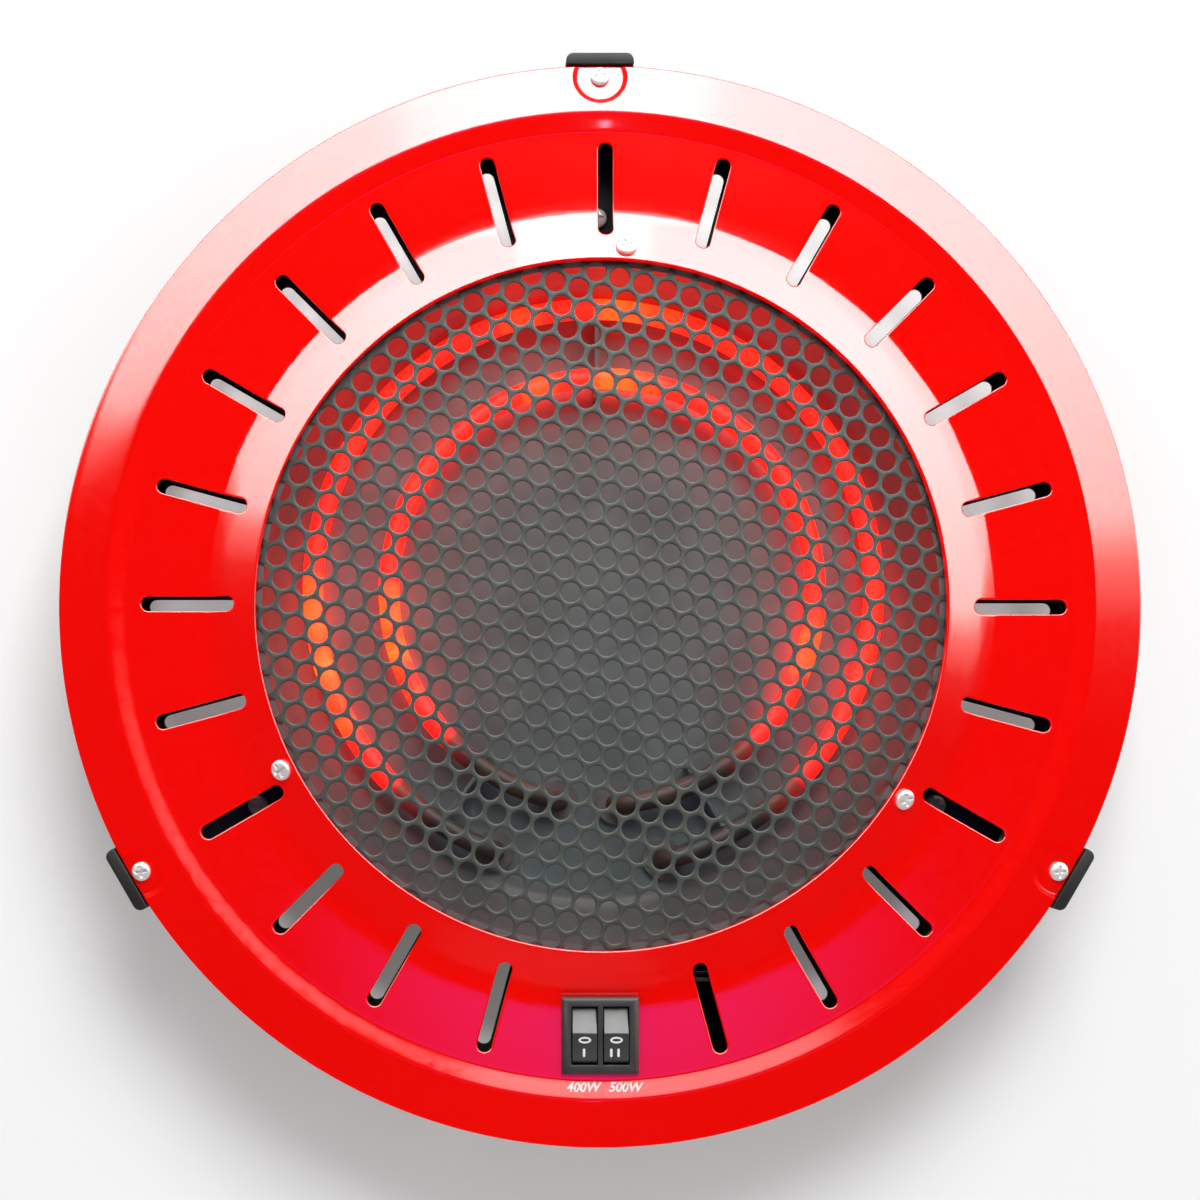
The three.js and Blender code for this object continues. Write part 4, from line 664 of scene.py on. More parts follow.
# %% Opening edge and the whole plate
OPENING, EDGE_TURN, EDGE_LOW = 139.0, 0.5, 92.0
EDGE_FOOT = [(0.0, 0.3), (0.1, 0.06), (0.3, 0.0), (1.0, 0.0), (1.2, 0.2)]
TOP_ROWS = np.array([146.6, 145.0, 143.4, 141.8, 140.6])
UNDER_ROWS = np.array([140.9, 142.6, 143.4, 145.0, 146.6])
CREASE_ROWS = [191.0, 191.4, 192.1, 192.4, 192.6, 192.8, 193.1, 194.2, 196.5, 198.5, 199.3, 199.7, 199.9, 200.1, 200.3,
               200.7, 201.5, 203.0]


def opening_profile():
    """The edge of the opening: in from the slope, over the bend, down to its foot and back below."""
    lean = math.atan(CONE)
    start = OPENING + EDGE_TURN * (1 + math.sin(lean))
    middle = float(plate_height(start)) - EDGE_TURN * math.cos(lean)
    bend = arc((OPENING + EDGE_TURN, middle), EDGE_TURN, 90 - math.degrees(lean), 180, 8)
    foot = [(OPENING + aside, EDGE_LOW + rise) for aside, rise in EDGE_FOOT]
    foot.append((foot[-1][0], float(under_height(UNDER_ROWS[0])) - 0.1))
    return np.concatenate([pairs(TOP_ROWS, plate_height(TOP_ROWS)), bend, foot,
                           pairs(UNDER_ROWS, under_height(UNDER_ROWS))])


def plate_grids():
    """All the grids of the plate: edge of the opening, crease, sectors, lip and rim."""
    profile = opening_profile()
    grids = [polar(profile[:, 0, None], all_round(), profile[:, 1, None])]
    grids += both_faces((CREASE_ROWS, CREASE_ROWS), all_round())
    for bearing in range(0, 360, 360 // SECTORS):
        grids.append(sector(bearing, window if bearing == 180 else stadium))
        if bearing in SEAT_BEARINGS:
            tops, line = seat_sector(bearing)
            lows, low_line = under_seat(bearing)
            grids += tops + lows
        else:
            both, line, low_line = plain_lip(bearing)
            grids += both
        grids += [rolled(line), inner_rim(low_line)]
    return grids


def mark(mesh, name, values):
    """Writes one number for each vertex as a named attribute."""
    mesh.attributes.new(name, "FLOAT", "POINT").data.foreach_set("value", np.asarray(values, np.float32))


def vertex_places(mesh):
    """The vertices as an array, in millimetres."""
    flat = np.empty(3 * len(mesh.vertices))
    mesh.vertices.foreach_get("co", flat)
    return flat.reshape(-1, 3) / MM


plate_mesh = mesh_from("red_plate", plate_grids())
spots = vertex_places(plate_mesh)
seats = np.stack([polar(SEAT_CENTRE, bearing, 0.0)[:2] for bearing in SEAT_BEARINGS])
reach = np.linalg.norm(spots[:, None, :2] - seats[None], axis=2).min(1)
mark(plate_mesh, "groove", (reach > GROOVE[0]) & (reach < GROOVE[1]) & (spots[:, 2] > GROOVE_LOW))
place("red_plate", plate_mesh, enamel, "red_enamel", "top_plate")

# %% [markdown]
# ## Grille
# The holes stand on a triangular lattice, turned as in the photograph, with one hole at a measured place.
# Each hole lies in a hexagon, and its rows go from the hexagon's edge to the hole and through the sheet.
# Between the last whole hexagons and the round edge a triangulation leaves out the holes that the edge cuts.
# The sheet is crowned: its height is `edge + crown * (1 - (r / R)^2)`.

# %% Grille
PITCH, PATTERN_TURN = 9.849, -15.5
PATTERN_PLACE = np.array([-2.93, 2.53])
HOLE_RADIUS, HOLE_ROUND = 4.05, 0.4
GRILLE_RADIUS, GRILLE_LIMIT, GRILLE_MARGIN = 141.6, 137.3, 0.3
GRILLE_EDGE, GRILLE_CROWN, GRILLE_SHEET = 91.7, 4.5, 1.0
CROWN_RADIUS = 137.4
HEX_STEPS, LATTICE_REACH = 3, 45
HOLE_TURN, CIRCLE_TURN = np.radians(np.arange(0, 360, 15)), np.radians(np.arange(0, 360, 1.5))
CORNER_DIGITS, SAME = 4, 1e-4


def on_grille(flat, drop=0.0):
    """(x, y) points on the grille's top, or a drop below: edge + crown * (1 - (r / R)^2), no lower than its edge."""
    share = 1.0 - (flat[..., 0] ** 2 + flat[..., 1] ** 2) / CROWN_RADIUS ** 2
    return raised(flat, GRILLE_EDGE + GRILLE_CROWN * np.maximum(share, 0.0) - drop)


def lattice():
    """Centres of the lattice cells, and of those whose hexagons lie wholly on the sheet."""
    turn = math.radians(PATTERN_TURN)
    first = PITCH * np.array([math.cos(turn), math.sin(turn)])
    second = PITCH * np.array([math.cos(turn + math.pi / 3), math.sin(turn + math.pi / 3)])
    steps = np.arange(-LATTICE_REACH, LATTICE_REACH + 1)
    i, j = np.meshgrid(steps, steps)
    centres = PATTERN_PLACE + i.reshape(-1, 1) * first + j.reshape(-1, 1) * second
    reach = np.linalg.norm(centres[:, None, :] + hexagon()[None], axis=2).max(1)
    inside_edge = (reach < GRILLE_RADIUS - GRILLE_MARGIN) & (np.linalg.norm(centres, axis=1) <= GRILLE_LIMIT)
    return centres, centres[inside_edge]


def hexagon():
    """Points round a lattice cell, HEX_STEPS to each side."""
    corners = PITCH / math.sqrt(3.0) * on_circle(np.radians(PATTERN_TURN + 30.0 + 60.0 * np.arange(7)))
    share = np.arange(HEX_STEPS)[None, :, None] / HEX_STEPS
    return (corners[:-1, None] + (corners[1:, None] - corners[:-1, None]) * share).reshape(-1, 2)


def hole_grid(centres):
    """For every centre, the rows from the hexagon over the hole's edge and wall to the lower face."""
    cell = hexagon()
    cell = np.concatenate([cell, cell[:1]])
    ring = on_circle(np.arctan2(cell[:, 1], cell[:, 0]))
    rows = [cell, ring * (HOLE_RADIUS + HOLE_ROUND), ring * (HOLE_RADIUS + 0.3 * HOLE_ROUND)]
    rows += [ring * HOLE_RADIUS, ring * HOLE_RADIUS, cell]
    drops = np.array([0.0, 0.0, 0.3 * HOLE_ROUND, HOLE_ROUND, GRILLE_SHEET, GRILLE_SHEET])
    return on_grille(np.stack(rows)[None] + centres[:, None, None, :], drops[None, :, None])


def border(kept, every):
    """Triangles of the border, between the jagged edge of the hexagons and the round edge of the sheet.

    The holes that the round edge cuts are polygons in the triangulation, and their triangles are left out.
    """
    cell = hexagon()
    corners = (kept[:, None] + cell[None]).reshape(-1, 2)
    keys = np.round(corners, CORNER_DIGITS)
    _, first, index = np.unique(keys, axis=0, return_index=True, return_inverse=True)
    index = index.reshape(len(kept), -1)
    sides = np.sort(np.stack([index, np.roll(index, -1, axis=1)], -1).reshape(-1, 2), axis=1)
    lines, count = np.unique(sides, axis=0, return_counts=True)
    outline = lines[count == 1]
    used = np.unique(outline)
    jagged = corners[first][used]
    circle = GRILLE_RADIUS * pairs(np.sin(CIRCLE_TURN), np.cos(CIRCLE_TURN))
    taken = (np.abs(every[:, None] - kept[None]).sum(2) < SAME).any(1)
    cut = every[~taken & (np.linalg.norm(every, axis=1) < GRILLE_RADIUS + HOLE_RADIUS)]
    rings = [circle] + [centre + HOLE_RADIUS * on_circle(HOLE_TURN) for centre in cut]
    points = np.concatenate([jagged] + rings)
    edges, begin = np.searchsorted(used, outline).tolist(), len(used)
    for ring in rings:
        step = np.arange(len(ring)) + begin
        edges += np.stack([step, np.roll(step, -1)], -1).tolist()
        begin += len(ring)
    made = delaunay_2d_cdt([Vector(point) for point in points], edges, [], 0, 1e-7)
    places, faces = np.array([list(v) for v in made[0]]), np.array([list(f) for f in made[2]])
    middle = places[faces].mean(1)
    apart = np.linalg.norm(middle[:, None] - every[None], axis=2)
    gone = taken[apart.argmin(1)] | (apart[:, ~taken].min(1) < HOLE_RADIUS * math.cos(math.pi / len(HOLE_TURN)))
    left = faces[~gone & (np.linalg.norm(middle, axis=1) < GRILLE_RADIUS)]
    sides = np.stack([left, np.roll(left, -1, axis=1)], -1).reshape(-1, 2)
    open_side = ~(sides[:, None, ::-1] == sides[None]).all(2).any(1)
    ends = places[sides[open_side]]
    on_cell = (np.abs(ends[:, :, None] - jagged[None, None]).sum(3) < SAME).any(2).all(1)
    return places[left], ends[~on_cell]


def border_cells(kept, every):
    """The border's triangles on both faces, as cells with a doubled corner."""
    flat, walls = border(kept, every)
    top, upper = on_grille(flat[:, [0, 1, 2, 2]]), on_grille(walls)
    sides = np.concatenate([upper, (upper - [0, 0, GRILLE_SHEET])[:, ::-1]], 1)
    return [top, top - [0, 0, GRILLE_SHEET], sides]


every_centre, hole_centres = lattice()
near_centres = every_centre[np.linalg.norm(every_centre, axis=1) < GRILLE_RADIUS + 2 * PITCH]
border_faces = border_cells(hole_centres, near_centres)
grille_mesh = mesh_from("steel_grille", [hole_grid(hole_centres)], border_faces, sharp=50.0)
place("steel_grille", grille_mesh, grille_paint, "dark_grille", "grille")
print("holes:", len(hole_centres))

# %% [markdown]
# ## Reflector and heating rings
# The dish is turned from one profile: a flat floor, a quarter ellipse, and the flange under the plate's slope.
# A ring is a tube swept along an arc that bends down at both ends. Each cross-section lies square to the
# path, and the tube carries two attributes: its heat, which depends on the bearing, and the way along it.

# %% Reflector
DISH_FLOOR, DISH_FLOOR_RADIUS, DISH_EDGE_RADIUS, DISH_EDGE = 50.4, 119.0, 137.0, 90.4
DISH_SHEET, FLANGE_GAP = 0.8, 0.3
FLANGE = np.array([142.3, 143.0, 144.5, 146.0, 147.2])


def dish_profile():
    """The dish's upper face: floor, quarter ellipse, the step outside the grille and the flange."""
    turn = np.radians(np.linspace(0, 90, 15))
    wall = pairs(DISH_FLOOR_RADIUS + (DISH_EDGE_RADIUS - DISH_FLOOR_RADIUS) * np.sin(turn),
                 DISH_EDGE - (DISH_EDGE - DISH_FLOOR) * np.cos(turn))
    flange = pairs(FLANGE, under_height(FLANGE) - FLANGE_GAP)
    step = [(141.7, DISH_EDGE), (141.9, DISH_EDGE + 0.2), (142.0, flange[0, 1] - 0.3)]
    return np.concatenate([pairs((0.0, 60.0, 112.0), DISH_FLOOR), wall, step, flange])


def sheet(profile, thickness):
    """A profile and its copy on the other side of the sheet, closed. Corners are mitred."""
    step = np.diff(profile, axis=0)
    side = pairs(step[:, 1], -step[:, 0]) / np.linalg.norm(step, axis=1)[:, None]
    both = np.concatenate([side[:1], side]) + np.concatenate([side, side[-1:]])
    back = profile + thickness * both * (2.0 / (both ** 2).sum(1))[:, None]
    back[0, 0] = max(back[0, 0], 0.0)
    return np.concatenate([profile, back[::-1], profile[:1]])


dish_mesh = mesh_from("dish", [turned(sheet(dish_profile(), DISH_SHEET))], sharp=35.0)
place("dish", dish_mesh, bright_steel, "bright_reflector", "reflector")

# %% Heating rings
RING_HEIGHT, TUBE_RADIUS, RING_BEND, LEG_END = 64.0, 4.25, 9.0, 38.0
RING_STEPS, TUBE_SIDES = 260, 24
RINGS = {
    "ring_inner": ((2.4, 7.7), 89.0, 197.4, 169.9),
    "ring_outer": ((-1.3, 8.6), 117.0, 205.0, 160.7),
}
COOL_FRONT = [(126, .4), (136, .1), (142, 0), (218, 0), (224, .1), (234, .5)]
HEAT = {
    "ring_inner": [(0, .88), (25, .72), (60, .66), (90, .74), (106, .94), (118, .68), *COOL_FRONT, (244, .82),
                   (256, .97), (268, .82), (300, .68), (335, .76), (360, .88)],
    "ring_outer": [(0, .84), (25, .72), (60, .66), (95, .72), (106, .84), (118, .62), *COOL_FRONT, (243, .84),
                   (255, 1.0), (267, .84), (290, .68), (335, .72), (360, .84)],
}


def ring_path(centre, radius, left, right):
    """Up the left leg, round the arc through the rear, and down the right leg."""
    bearing = np.radians(np.linspace(left, right + 360.0, RING_STEPS))
    level = np.stack([radius * np.sin(bearing), radius * np.cos(bearing), 0 * bearing], -1)
    level += [centre[0], centre[1], RING_HEIGHT]
    turn = np.radians(np.linspace(0, 90, 9))[1:, None]
    ends = []
    for point, angle, way in ((level[0], bearing[0], -1), (level[-1], bearing[-1], 1)):
        ahead = way * np.array([math.cos(angle), -math.sin(angle), 0.0])
        bend = point + RING_BEND * (np.sin(turn) * ahead - (1 - np.cos(turn)) * np.array([0, 0, 1.0]))
        foot = np.repeat(bend[-1:], 5, axis=0)
        foot[:, 2] = np.linspace(bend[-1, 2], LEG_END, 6)[1:]
        ends.append(np.concatenate([bend, foot]))
    return np.concatenate([ends[0][::-1], level, ends[1]])


def swept(path):
    """A tube along a path. Each frame is the last one with its part along the new direction taken out."""
    ahead = np.gradient(path, axis=0)
    ahead /= np.linalg.norm(ahead, axis=1)[:, None]
    across = np.cross(ahead[0], [0.3, 0.2, 0.9] if abs(ahead[0, 2]) < 0.9 else [1.0, 0.2, 0.1])
    turn = np.linspace(0, 2 * math.pi, TUBE_SIDES + 1)[:, None]
    turn[-1] = 0.0
    rows = []
    for place_at, way in zip(path, ahead):
        across = across - way * np.dot(across, way)
        across = across / np.linalg.norm(across)
        up = np.cross(way, across)
        rows.append(place_at + TUBE_RADIUS * (np.cos(turn) * across + np.sin(turn) * up))
    return np.stack([np.repeat(path[:1], len(turn), axis=0), *rows, np.repeat(path[-1:], len(turn), axis=0)])


for ring_name, (centre, radius, left, right) in RINGS.items():
    ring_mesh = mesh_from(ring_name, [swept(ring_path(centre, radius, left, right))])
    spot = vertex_places(ring_mesh)
    bearing = np.degrees(np.arctan2(spot[:, 0], spot[:, 1])) % 360.0
    table = np.array(HEAT[ring_name])
    mark(ring_mesh, "hotness", np.interp(bearing, table[:, 0], table[:, 1]))
    mark(ring_mesh, "way_round", bearing)
    place(ring_name, ring_mesh, sheath, "heating_sheath", ring_name.replace("ring", "element"))

# %% [markdown]
# ## Pan
# The black pan under the plate is turned from its own profile too. Its slots lie under those of the plate,
# and a Boolean cuts them, together with the place of the wiring box.

# %% Pan
PAN_SHEET, PAN_FLOOR, PAN_FLOOR_RADIUS, PAN_CORNER, PAN_CORNER_TURN = 1.2, 16.0, 122.0, 12.0, 68.0
PAN_BOWL, PAN_SHELF, PAN_SHELF_RADIUS, PAN_MOUTH, PAN_MOUTH_HEIGHT = 148.0, 64.5, 192.5, 201.5, 88.2
PAN_BEND, PAN_CUT = 2.5, 8.0
PAN_UNCUT = (0, 120, 165, 180, 240)
BOX_SPACE = ((-27.3, -192.6, 37.7), (57.3, -150.7, 88.0))


def pan_profile():
    """The pan's upper face: floor, round corner, leaning wall, shelf and mouth."""
    turn = np.radians(np.linspace(0, PAN_CORNER_TURN, 10))
    corner = pairs(PAN_FLOOR_RADIUS + PAN_CORNER * np.sin(turn), PAN_FLOOR + PAN_CORNER * (1 - np.cos(turn)))
    bowl = arc((PAN_BOWL + PAN_BEND, PAN_SHELF - PAN_BEND), PAN_BEND, 165, 90, 6)
    shelf = arc((PAN_SHELF_RADIUS, PAN_SHELF + PAN_BEND), PAN_BEND, 270, 338, 5)
    return np.concatenate([pairs((0.0, 100.0), PAN_FLOOR), corner, bowl, shelf, [(PAN_MOUTH, PAN_MOUTH_HEIGHT)]])


def prism(outline, low, high):
    """A closed block over an outline of (x, y) points."""
    outline = np.concatenate([outline, outline[:1]])
    middle = np.repeat(outline[:-1].mean(0)[None], len(outline), axis=0)
    return np.stack([raised(middle, low), raised(outline, low), raised(outline, high), raised(middle, high)])


def carved(mesh, grids):
    """Cuts closed grids out of a mesh with an exact Boolean, and returns the result as a new mesh."""
    body = linked("carving_body", mesh)
    tool = linked("carving_tool", mesh_from("carving_tool", grids))
    cut = body.modifiers.new("cut", "BOOLEAN")
    cut.object, cut.operation, cut.solver = tool, "DIFFERENCE", "EXACT"
    result = baked(body)
    bpy.data.objects.remove(tool)
    return result


(left, front, low), (right, rear, high) = BOX_SPACE
pan_cuts = [prism(np.array([(left, front), (right, front), (right, rear), (left, rear)]), low, high)]
for bearing in range(0, 360, 360 // SECTORS):
    if bearing not in PAN_UNCUT:
        slot = laid(as_polar(stadium(0.0)[:-1] + slot_shift(bearing)), bearing, 0.0)[:, :2]
        pan_cuts.append(prism(slot, PAN_SHELF - PAN_CUT, PAN_SHELF + PAN_CUT))
pan_mesh = carved(mesh_from("steel_pan", [turned(sheet(pan_profile(), PAN_SHEET))]), pan_cuts)
smooth(pan_mesh, 35.0)
place("steel_pan", pan_mesh, black_steel, "black_steel", "lower_pan")

# %% [markdown]
# ## Moulded parts, switch and screws
# The legs, the switch frame and the wiring box keep the shape of the CAD solid: a copy is merged and its
# edges are rounded. The rockers and screw heads are new surfaces, since their dished faces and pressed
# crosses need more points than the solids have.

# %% Copies with rounded edges
MERGE, FLATNESS = 0.00002, 0.02
BEVEL_STEPS, BEVEL_ANGLE = 3, math.radians(30.0)


def rounded(node, width):
    """A merged copy of a CAD node with its sharp edges bevelled. The width is in millimetres."""
    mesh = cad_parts[node].data.copy()
    work = bmesh.new()
    work.from_mesh(mesh)
    bmesh.ops.remove_doubles(work, verts=work.verts, dist=MERGE)
    bmesh.ops.dissolve_limit(work, angle_limit=FLATNESS, verts=work.verts, edges=work.edges)
    work.to_mesh(mesh)
    work.free()
    holder = linked("bevel_holder", mesh)
    bevel = holder.modifiers.new("bevel", "BEVEL")
    bevel.width, bevel.segments, bevel.limit_method = width * MM, BEVEL_STEPS, "ANGLE"
    bevel.angle_limit = BEVEL_ANGLE
    result = baked(holder)
    smooth(result, 35.0)
    return result


COPIES = [
    ("leg", "leg", 0.9, leg_plastic, "black_plastic", ("rear", "left", "right")),
    ("arm", "strap", 0.5, black_steel, "black_steel", ("rear", "left", "right")),
]
for label, stem, width, finish, slot_name, ends in COPIES:
    for end in ends:
        place(f"{label}_of_{end}", rounded(f"{stem}_{end}", width), finish, slot_name, f"{stem}_{end}")
place("switch_frame", rounded("switch_housing", 0.35), switch_plastic, "black_plastic", "switch_housing")
place("wiring_case", rounded("wiring_box", 0.6), leg_plastic, "black_plastic", "wiring_box")

# %% Rockers
SWITCH_Y, PIVOT_HEIGHT, ROCKER_WIDTH, ROCKER_REST = -174.0, 83.9, 9.9, -10.0
ROCKER_X = {"left": -6.4, "right": 6.4}
ROCKER_REACH, ROCKER_RIDGE, ROCKER_END, ROCKER_DISH, ROCKER_SKIRT = 11.5, 7.0, 4.0, 0.4, 4.4
ROCKER_FACE = math.sqrt(ROCKER_REACH ** 2 - ROCKER_END ** 2)
ROCKER_EDGE = [(0.0, 0.0), (0.0, 0.972), (0.10, 0.991), (0.35, 1.0)]


def face_height(share):
    """Height of a rocker's face over its pivot, from end to ridge: a slope, sunk by 4 * dish * s * (1 - s)."""
    return ROCKER_END + (ROCKER_RIDGE - ROCKER_END) * share - 4 * ROCKER_DISH * share * (1 - share)


def rocker_section():
    """Half of a rocker's side view as (y, z): from the bottom middle to the ridge, its face dished."""
    skirt = math.sqrt(ROCKER_REACH ** 2 - ROCKER_SKIRT ** 2)
    turn = np.linspace(-math.asin(ROCKER_SKIRT / ROCKER_REACH), math.asin(ROCKER_END / ROCKER_REACH) - 0.05, 12)
    share = np.linspace(0.03, 0.96, 16)
    return np.concatenate([[(0.0, -ROCKER_SKIRT), (skirt - 0.3, -ROCKER_SKIRT)], ROCKER_REACH * on_circle(turn),
                           pairs(ROCKER_FACE * (1 - share), face_height(share)), [(0.0, ROCKER_RIDGE - 0.06)]])


def rocker_mesh(side):
    """The section carried across the width, with rounded long edges, then turned to its rest position."""
    half = rocker_section()
    outline = np.concatenate([half, half[-2::-1] * [-1, 1]])
    rows = [(-ROCKER_WIDTH / 2 + cut, share) for cut, share in ROCKER_EDGE]
    rows += [(ROCKER_WIDTH / 2 - cut, share) for cut, share in ROCKER_EDGE[::-1]]
    flat = [np.concatenate([np.full((len(outline), 1), x), outline * share], -1) for x, share in rows]
    return mesh_from(f"rocker_{side}_cap", [at_rest(np.stack(flat), side)])


def at_rest(points, side):
    """Points in a rocker's own frame, turned about its pivot to the rest position and put in place."""
    turn = math.radians(ROCKER_REST)
    x, y, z = points[..., 0], points[..., 1], points[..., 2]
    return np.stack([x + ROCKER_X[side], SWITCH_Y + y * math.cos(turn) - z * math.sin(turn),
                     PIVOT_HEIGHT + y * math.sin(turn) + z * math.cos(turn)], -1)


for side in ("left", "right"):
    place(f"rocker_{side}_cap", rocker_mesh(side), rocker_plastic, "switch_rocker", f"rocker_{side}",
          body=f"rocker_{side}")

# %% Marks on the rockers
PRINT_LIFT, PRINT_DEPTH = 0.03, 0.15
OVAL = ((2.55, 1.3), (1.75, 0.55), -2.55)
BAR_HALF, BAR_Y = 0.5, (-9.3, -5.9)
BARS = {"left": (-0.3,), "right": (-2.1, 0.85)}


def printed(rings):
    """Closed relief on a rocker's face: rows of (x, y), each with a depth below the printed height."""
    faces = [(flat, face_height(1 - np.abs(flat[:, 1]) / ROCKER_FACE) + PRINT_LIFT - depth) for flat, depth in rings]
    return np.stack([raised(flat, height) for flat, height in faces])


def oval_mark():
    """The mark for off: a flat oval ring that lies across the rocker."""
    turn = np.radians(np.linspace(0, 360, 49))
    turn[-1] = 0.0
    (wide, high), (inner_wide, inner_high), middle = OVAL
    outer = pairs(wide * np.cos(turn), middle + high * np.sin(turn))
    inner = pairs(inner_wide * np.cos(turn), middle + inner_high * np.sin(turn))
    return printed([(inner, PRINT_DEPTH), (inner, 0), (outer, 0), (outer, PRINT_DEPTH), (inner, PRINT_DEPTH)])


def bar_mark(x):
    """One stroke of the marks for on."""
    turn = np.radians(np.r_[np.linspace(0, 180, 13), np.linspace(180, 360, 13), 0])
    ends = np.r_[np.full(13, BAR_Y[1] - BAR_HALF), np.full(13, BAR_Y[0] + BAR_HALF), BAR_Y[1] - BAR_HALF]
    outline = pairs(x + BAR_HALF * np.cos(turn), ends + BAR_HALF * np.sin(turn))
    core = pairs(float(x), np.clip(outline[:, 1], BAR_Y[0] + BAR_HALF, BAR_Y[1] - BAR_HALF))
    return printed([(core, 0), (outline, 0), (outline, PRINT_DEPTH), (core, PRINT_DEPTH)])


for side in ("left", "right"):
    marks = [at_rest(oval_mark(), side)] + [at_rest(bar_mark(x), side) for x in BARS[side]]
    place(f"marks_{side}", mesh_from(f"marks_{side}", marks), ink, "switch_rocker", body=f"rocker_{side}")

# %% Wattage figures on the shoulder
TEXT_HEIGHT, TEXT_SLANT, TEXT_WEIGHT, TEXT_LIFT, TEXT_SHEET = 3.9, 0.25, 0.028, 0.04, 0.08
LABELS = [("400W", -13.65, 14.3), ("500W", 3.5, 14.2)]
LABEL_LOW = -196.9


def written(text, left, width):
    """Heavy slanted figures, drawn flat, then laid on the slope of the plate and given a thickness."""
    curve = bpy.data.curves.new("figures", "FONT")
    curve.body, curve.shear, curve.offset, curve.resolution_u = text, TEXT_SLANT, TEXT_WEIGHT, 4
    holder = bpy.data.objects.new("figures", curve)
    mesh = bpy.data.meshes.new_from_object(holder)
    bpy.data.objects.remove(holder)
    work = bmesh.new()
    work.from_mesh(mesh)
    bmesh.ops.remove_doubles(work, verts=work.verts, dist=0.0001)
    bmesh.ops.subdivide_edges(work, edges=[e for e in work.edges if e.calc_length() > 0.2], cuts=2)
    bmesh.ops.triangulate(work, faces=work.faces)
    flat = np.array([v.co[:2] for v in work.verts])
    low, high = flat.min(0), flat.max(0)
    flat = (flat - low) / (high - low) * [width, TEXT_HEIGHT] + [left, LABEL_LOW]
    height = plate_height(np.hypot(flat[:, 0], flat[:, 1])) + TEXT_LIFT
    for vertex, (x, y), z in zip(work.verts, flat, height):
        vertex.co = Vector((x, y, z)) * MM
    bmesh.ops.solidify(work, geom=work.faces, thickness=-TEXT_SHEET * MM)
    bmesh.ops.recalc_face_normals(work, faces=work.faces)
    work.to_mesh(mesh)
    work.free()
    return mesh


for text, left, width in LABELS:
    place(f"figures_{text}", written(text, left, width), ink, "red_enamel")

# %% Screw heads
CROSS_ARM, CROSS_HALF, CROSS_DEPTH, CROSS_SOFT = 0.31, 0.5, 1.2, (0.3, 0.22)
HEAD_CURVE, HEAD_RIM, SHANK_POINT = 2.6, 0.12, 0.4


def cross_arm(along, aside, arm):
    """How deep the cross is along one of its arms: one inside it, nought outside, with soft ends and sides."""
    return (1 - smoothstep((np.abs(along) - arm) / CROSS_SOFT[0])) * (
        1 - smoothstep((np.abs(aside) - CROSS_HALF) / CROSS_SOFT[1]))


def screw_grid(shank, head, height, length):
    """A domed head with a pressed cross, its rim, its lower face and a plain shank. Height 0 is its seat."""
    turn = np.radians(np.linspace(0, 360, 97))
    turn[-1] = 0.0
    radius = head / 2 * np.linspace(0, 1, 26)[:, None] + 0 * turn
    x, y = radius * np.cos(turn), radius * np.sin(turn)
    dome = height * (0.5 + 0.5 * np.sqrt(np.maximum(1 - (radius / (head / 2)) ** HEAD_CURVE, 0)))
    cross = np.maximum(cross_arm(x, y, head * CROSS_ARM), cross_arm(y, x, head * CROSS_ARM))
    rings = [(head / 2, HEAD_RIM), (head / 2 - HEAD_RIM, 0.0), (shank / 2, 0.0), (shank / 2, SHANK_POINT - length),
             (shank / 2 - SHANK_POINT, -length), (0.0, -length)]
    lower = [raised(r * on_circle(turn), z) for r, z in rings]
    return np.concatenate([np.stack([x, y, dome - CROSS_DEPTH * cross], -1), np.stack(lower)])


def set_screw(grid, radius, bearing, height, tilt=0.0, twist=0.0):
    """Twists a screw about its axis, tilts it outwards by a slope, and puts it at its place."""
    spin, lean, turn = math.radians(twist), math.atan(tilt), math.radians(90 - bearing)
    x = grid[..., 0] * math.cos(spin) - grid[..., 1] * math.sin(spin)
    y = grid[..., 0] * math.sin(spin) + grid[..., 1] * math.cos(spin)
    out = x * math.cos(lean) + grid[..., 2] * math.sin(lean) + radius
    up = grid[..., 2] * math.cos(lean) - x * math.sin(lean) + height
    return np.stack([out * math.cos(turn) - y * math.sin(turn), out * math.sin(turn) + y * math.cos(turn), up], -1)


LEG_SCREW, GRILLE_SCREW, PAN_BOLT = (3.5, 7.6, 2.2, 14.0), (3.5, 8.3, 2.2, 6.0), (4.0, 8.3, 3.0, 8.0)
GRILLE_SCREW_RADIUS = 144.7
SCREWS = [
    ("leg_screw", LEG_SCREW, SEAT_CENTRE, 85.95, SEAT_TILT, {"rear": (0, 12), "right": (120, 35), "left": (240, 70)}),
    ("grille_screw", GRILLE_SCREW, GRILLE_SCREW_RADIUS, float(plate_height(GRILLE_SCREW_RADIUS)), CONE,
     {"rear": (4, 20), "right": (122.6, 50), "left": (242.8, 5)}),
    ("pan_bolt", PAN_BOLT, 163.0, 64.8, 0.0, {"rear": (0, 0), "right": (120, 15), "left": (240, 40)}),
]
for stem, size, radius, height, tilt, ends in SCREWS:
    for end, (bearing, twist) in ends.items():
        grid = set_screw(screw_grid(*size), radius, bearing, height, tilt, twist)
        place(f"{stem}_of_{end}", mesh_from(f"{stem}_of_{end}", [grid], sharp=45.0), zinc, "zinc_screw",
              f"{stem}_{end}")

# %% [markdown]
# ## CAD nodes that stay
# Small parts inside the heater keep their CAD mesh. They get the same procedural finishes.

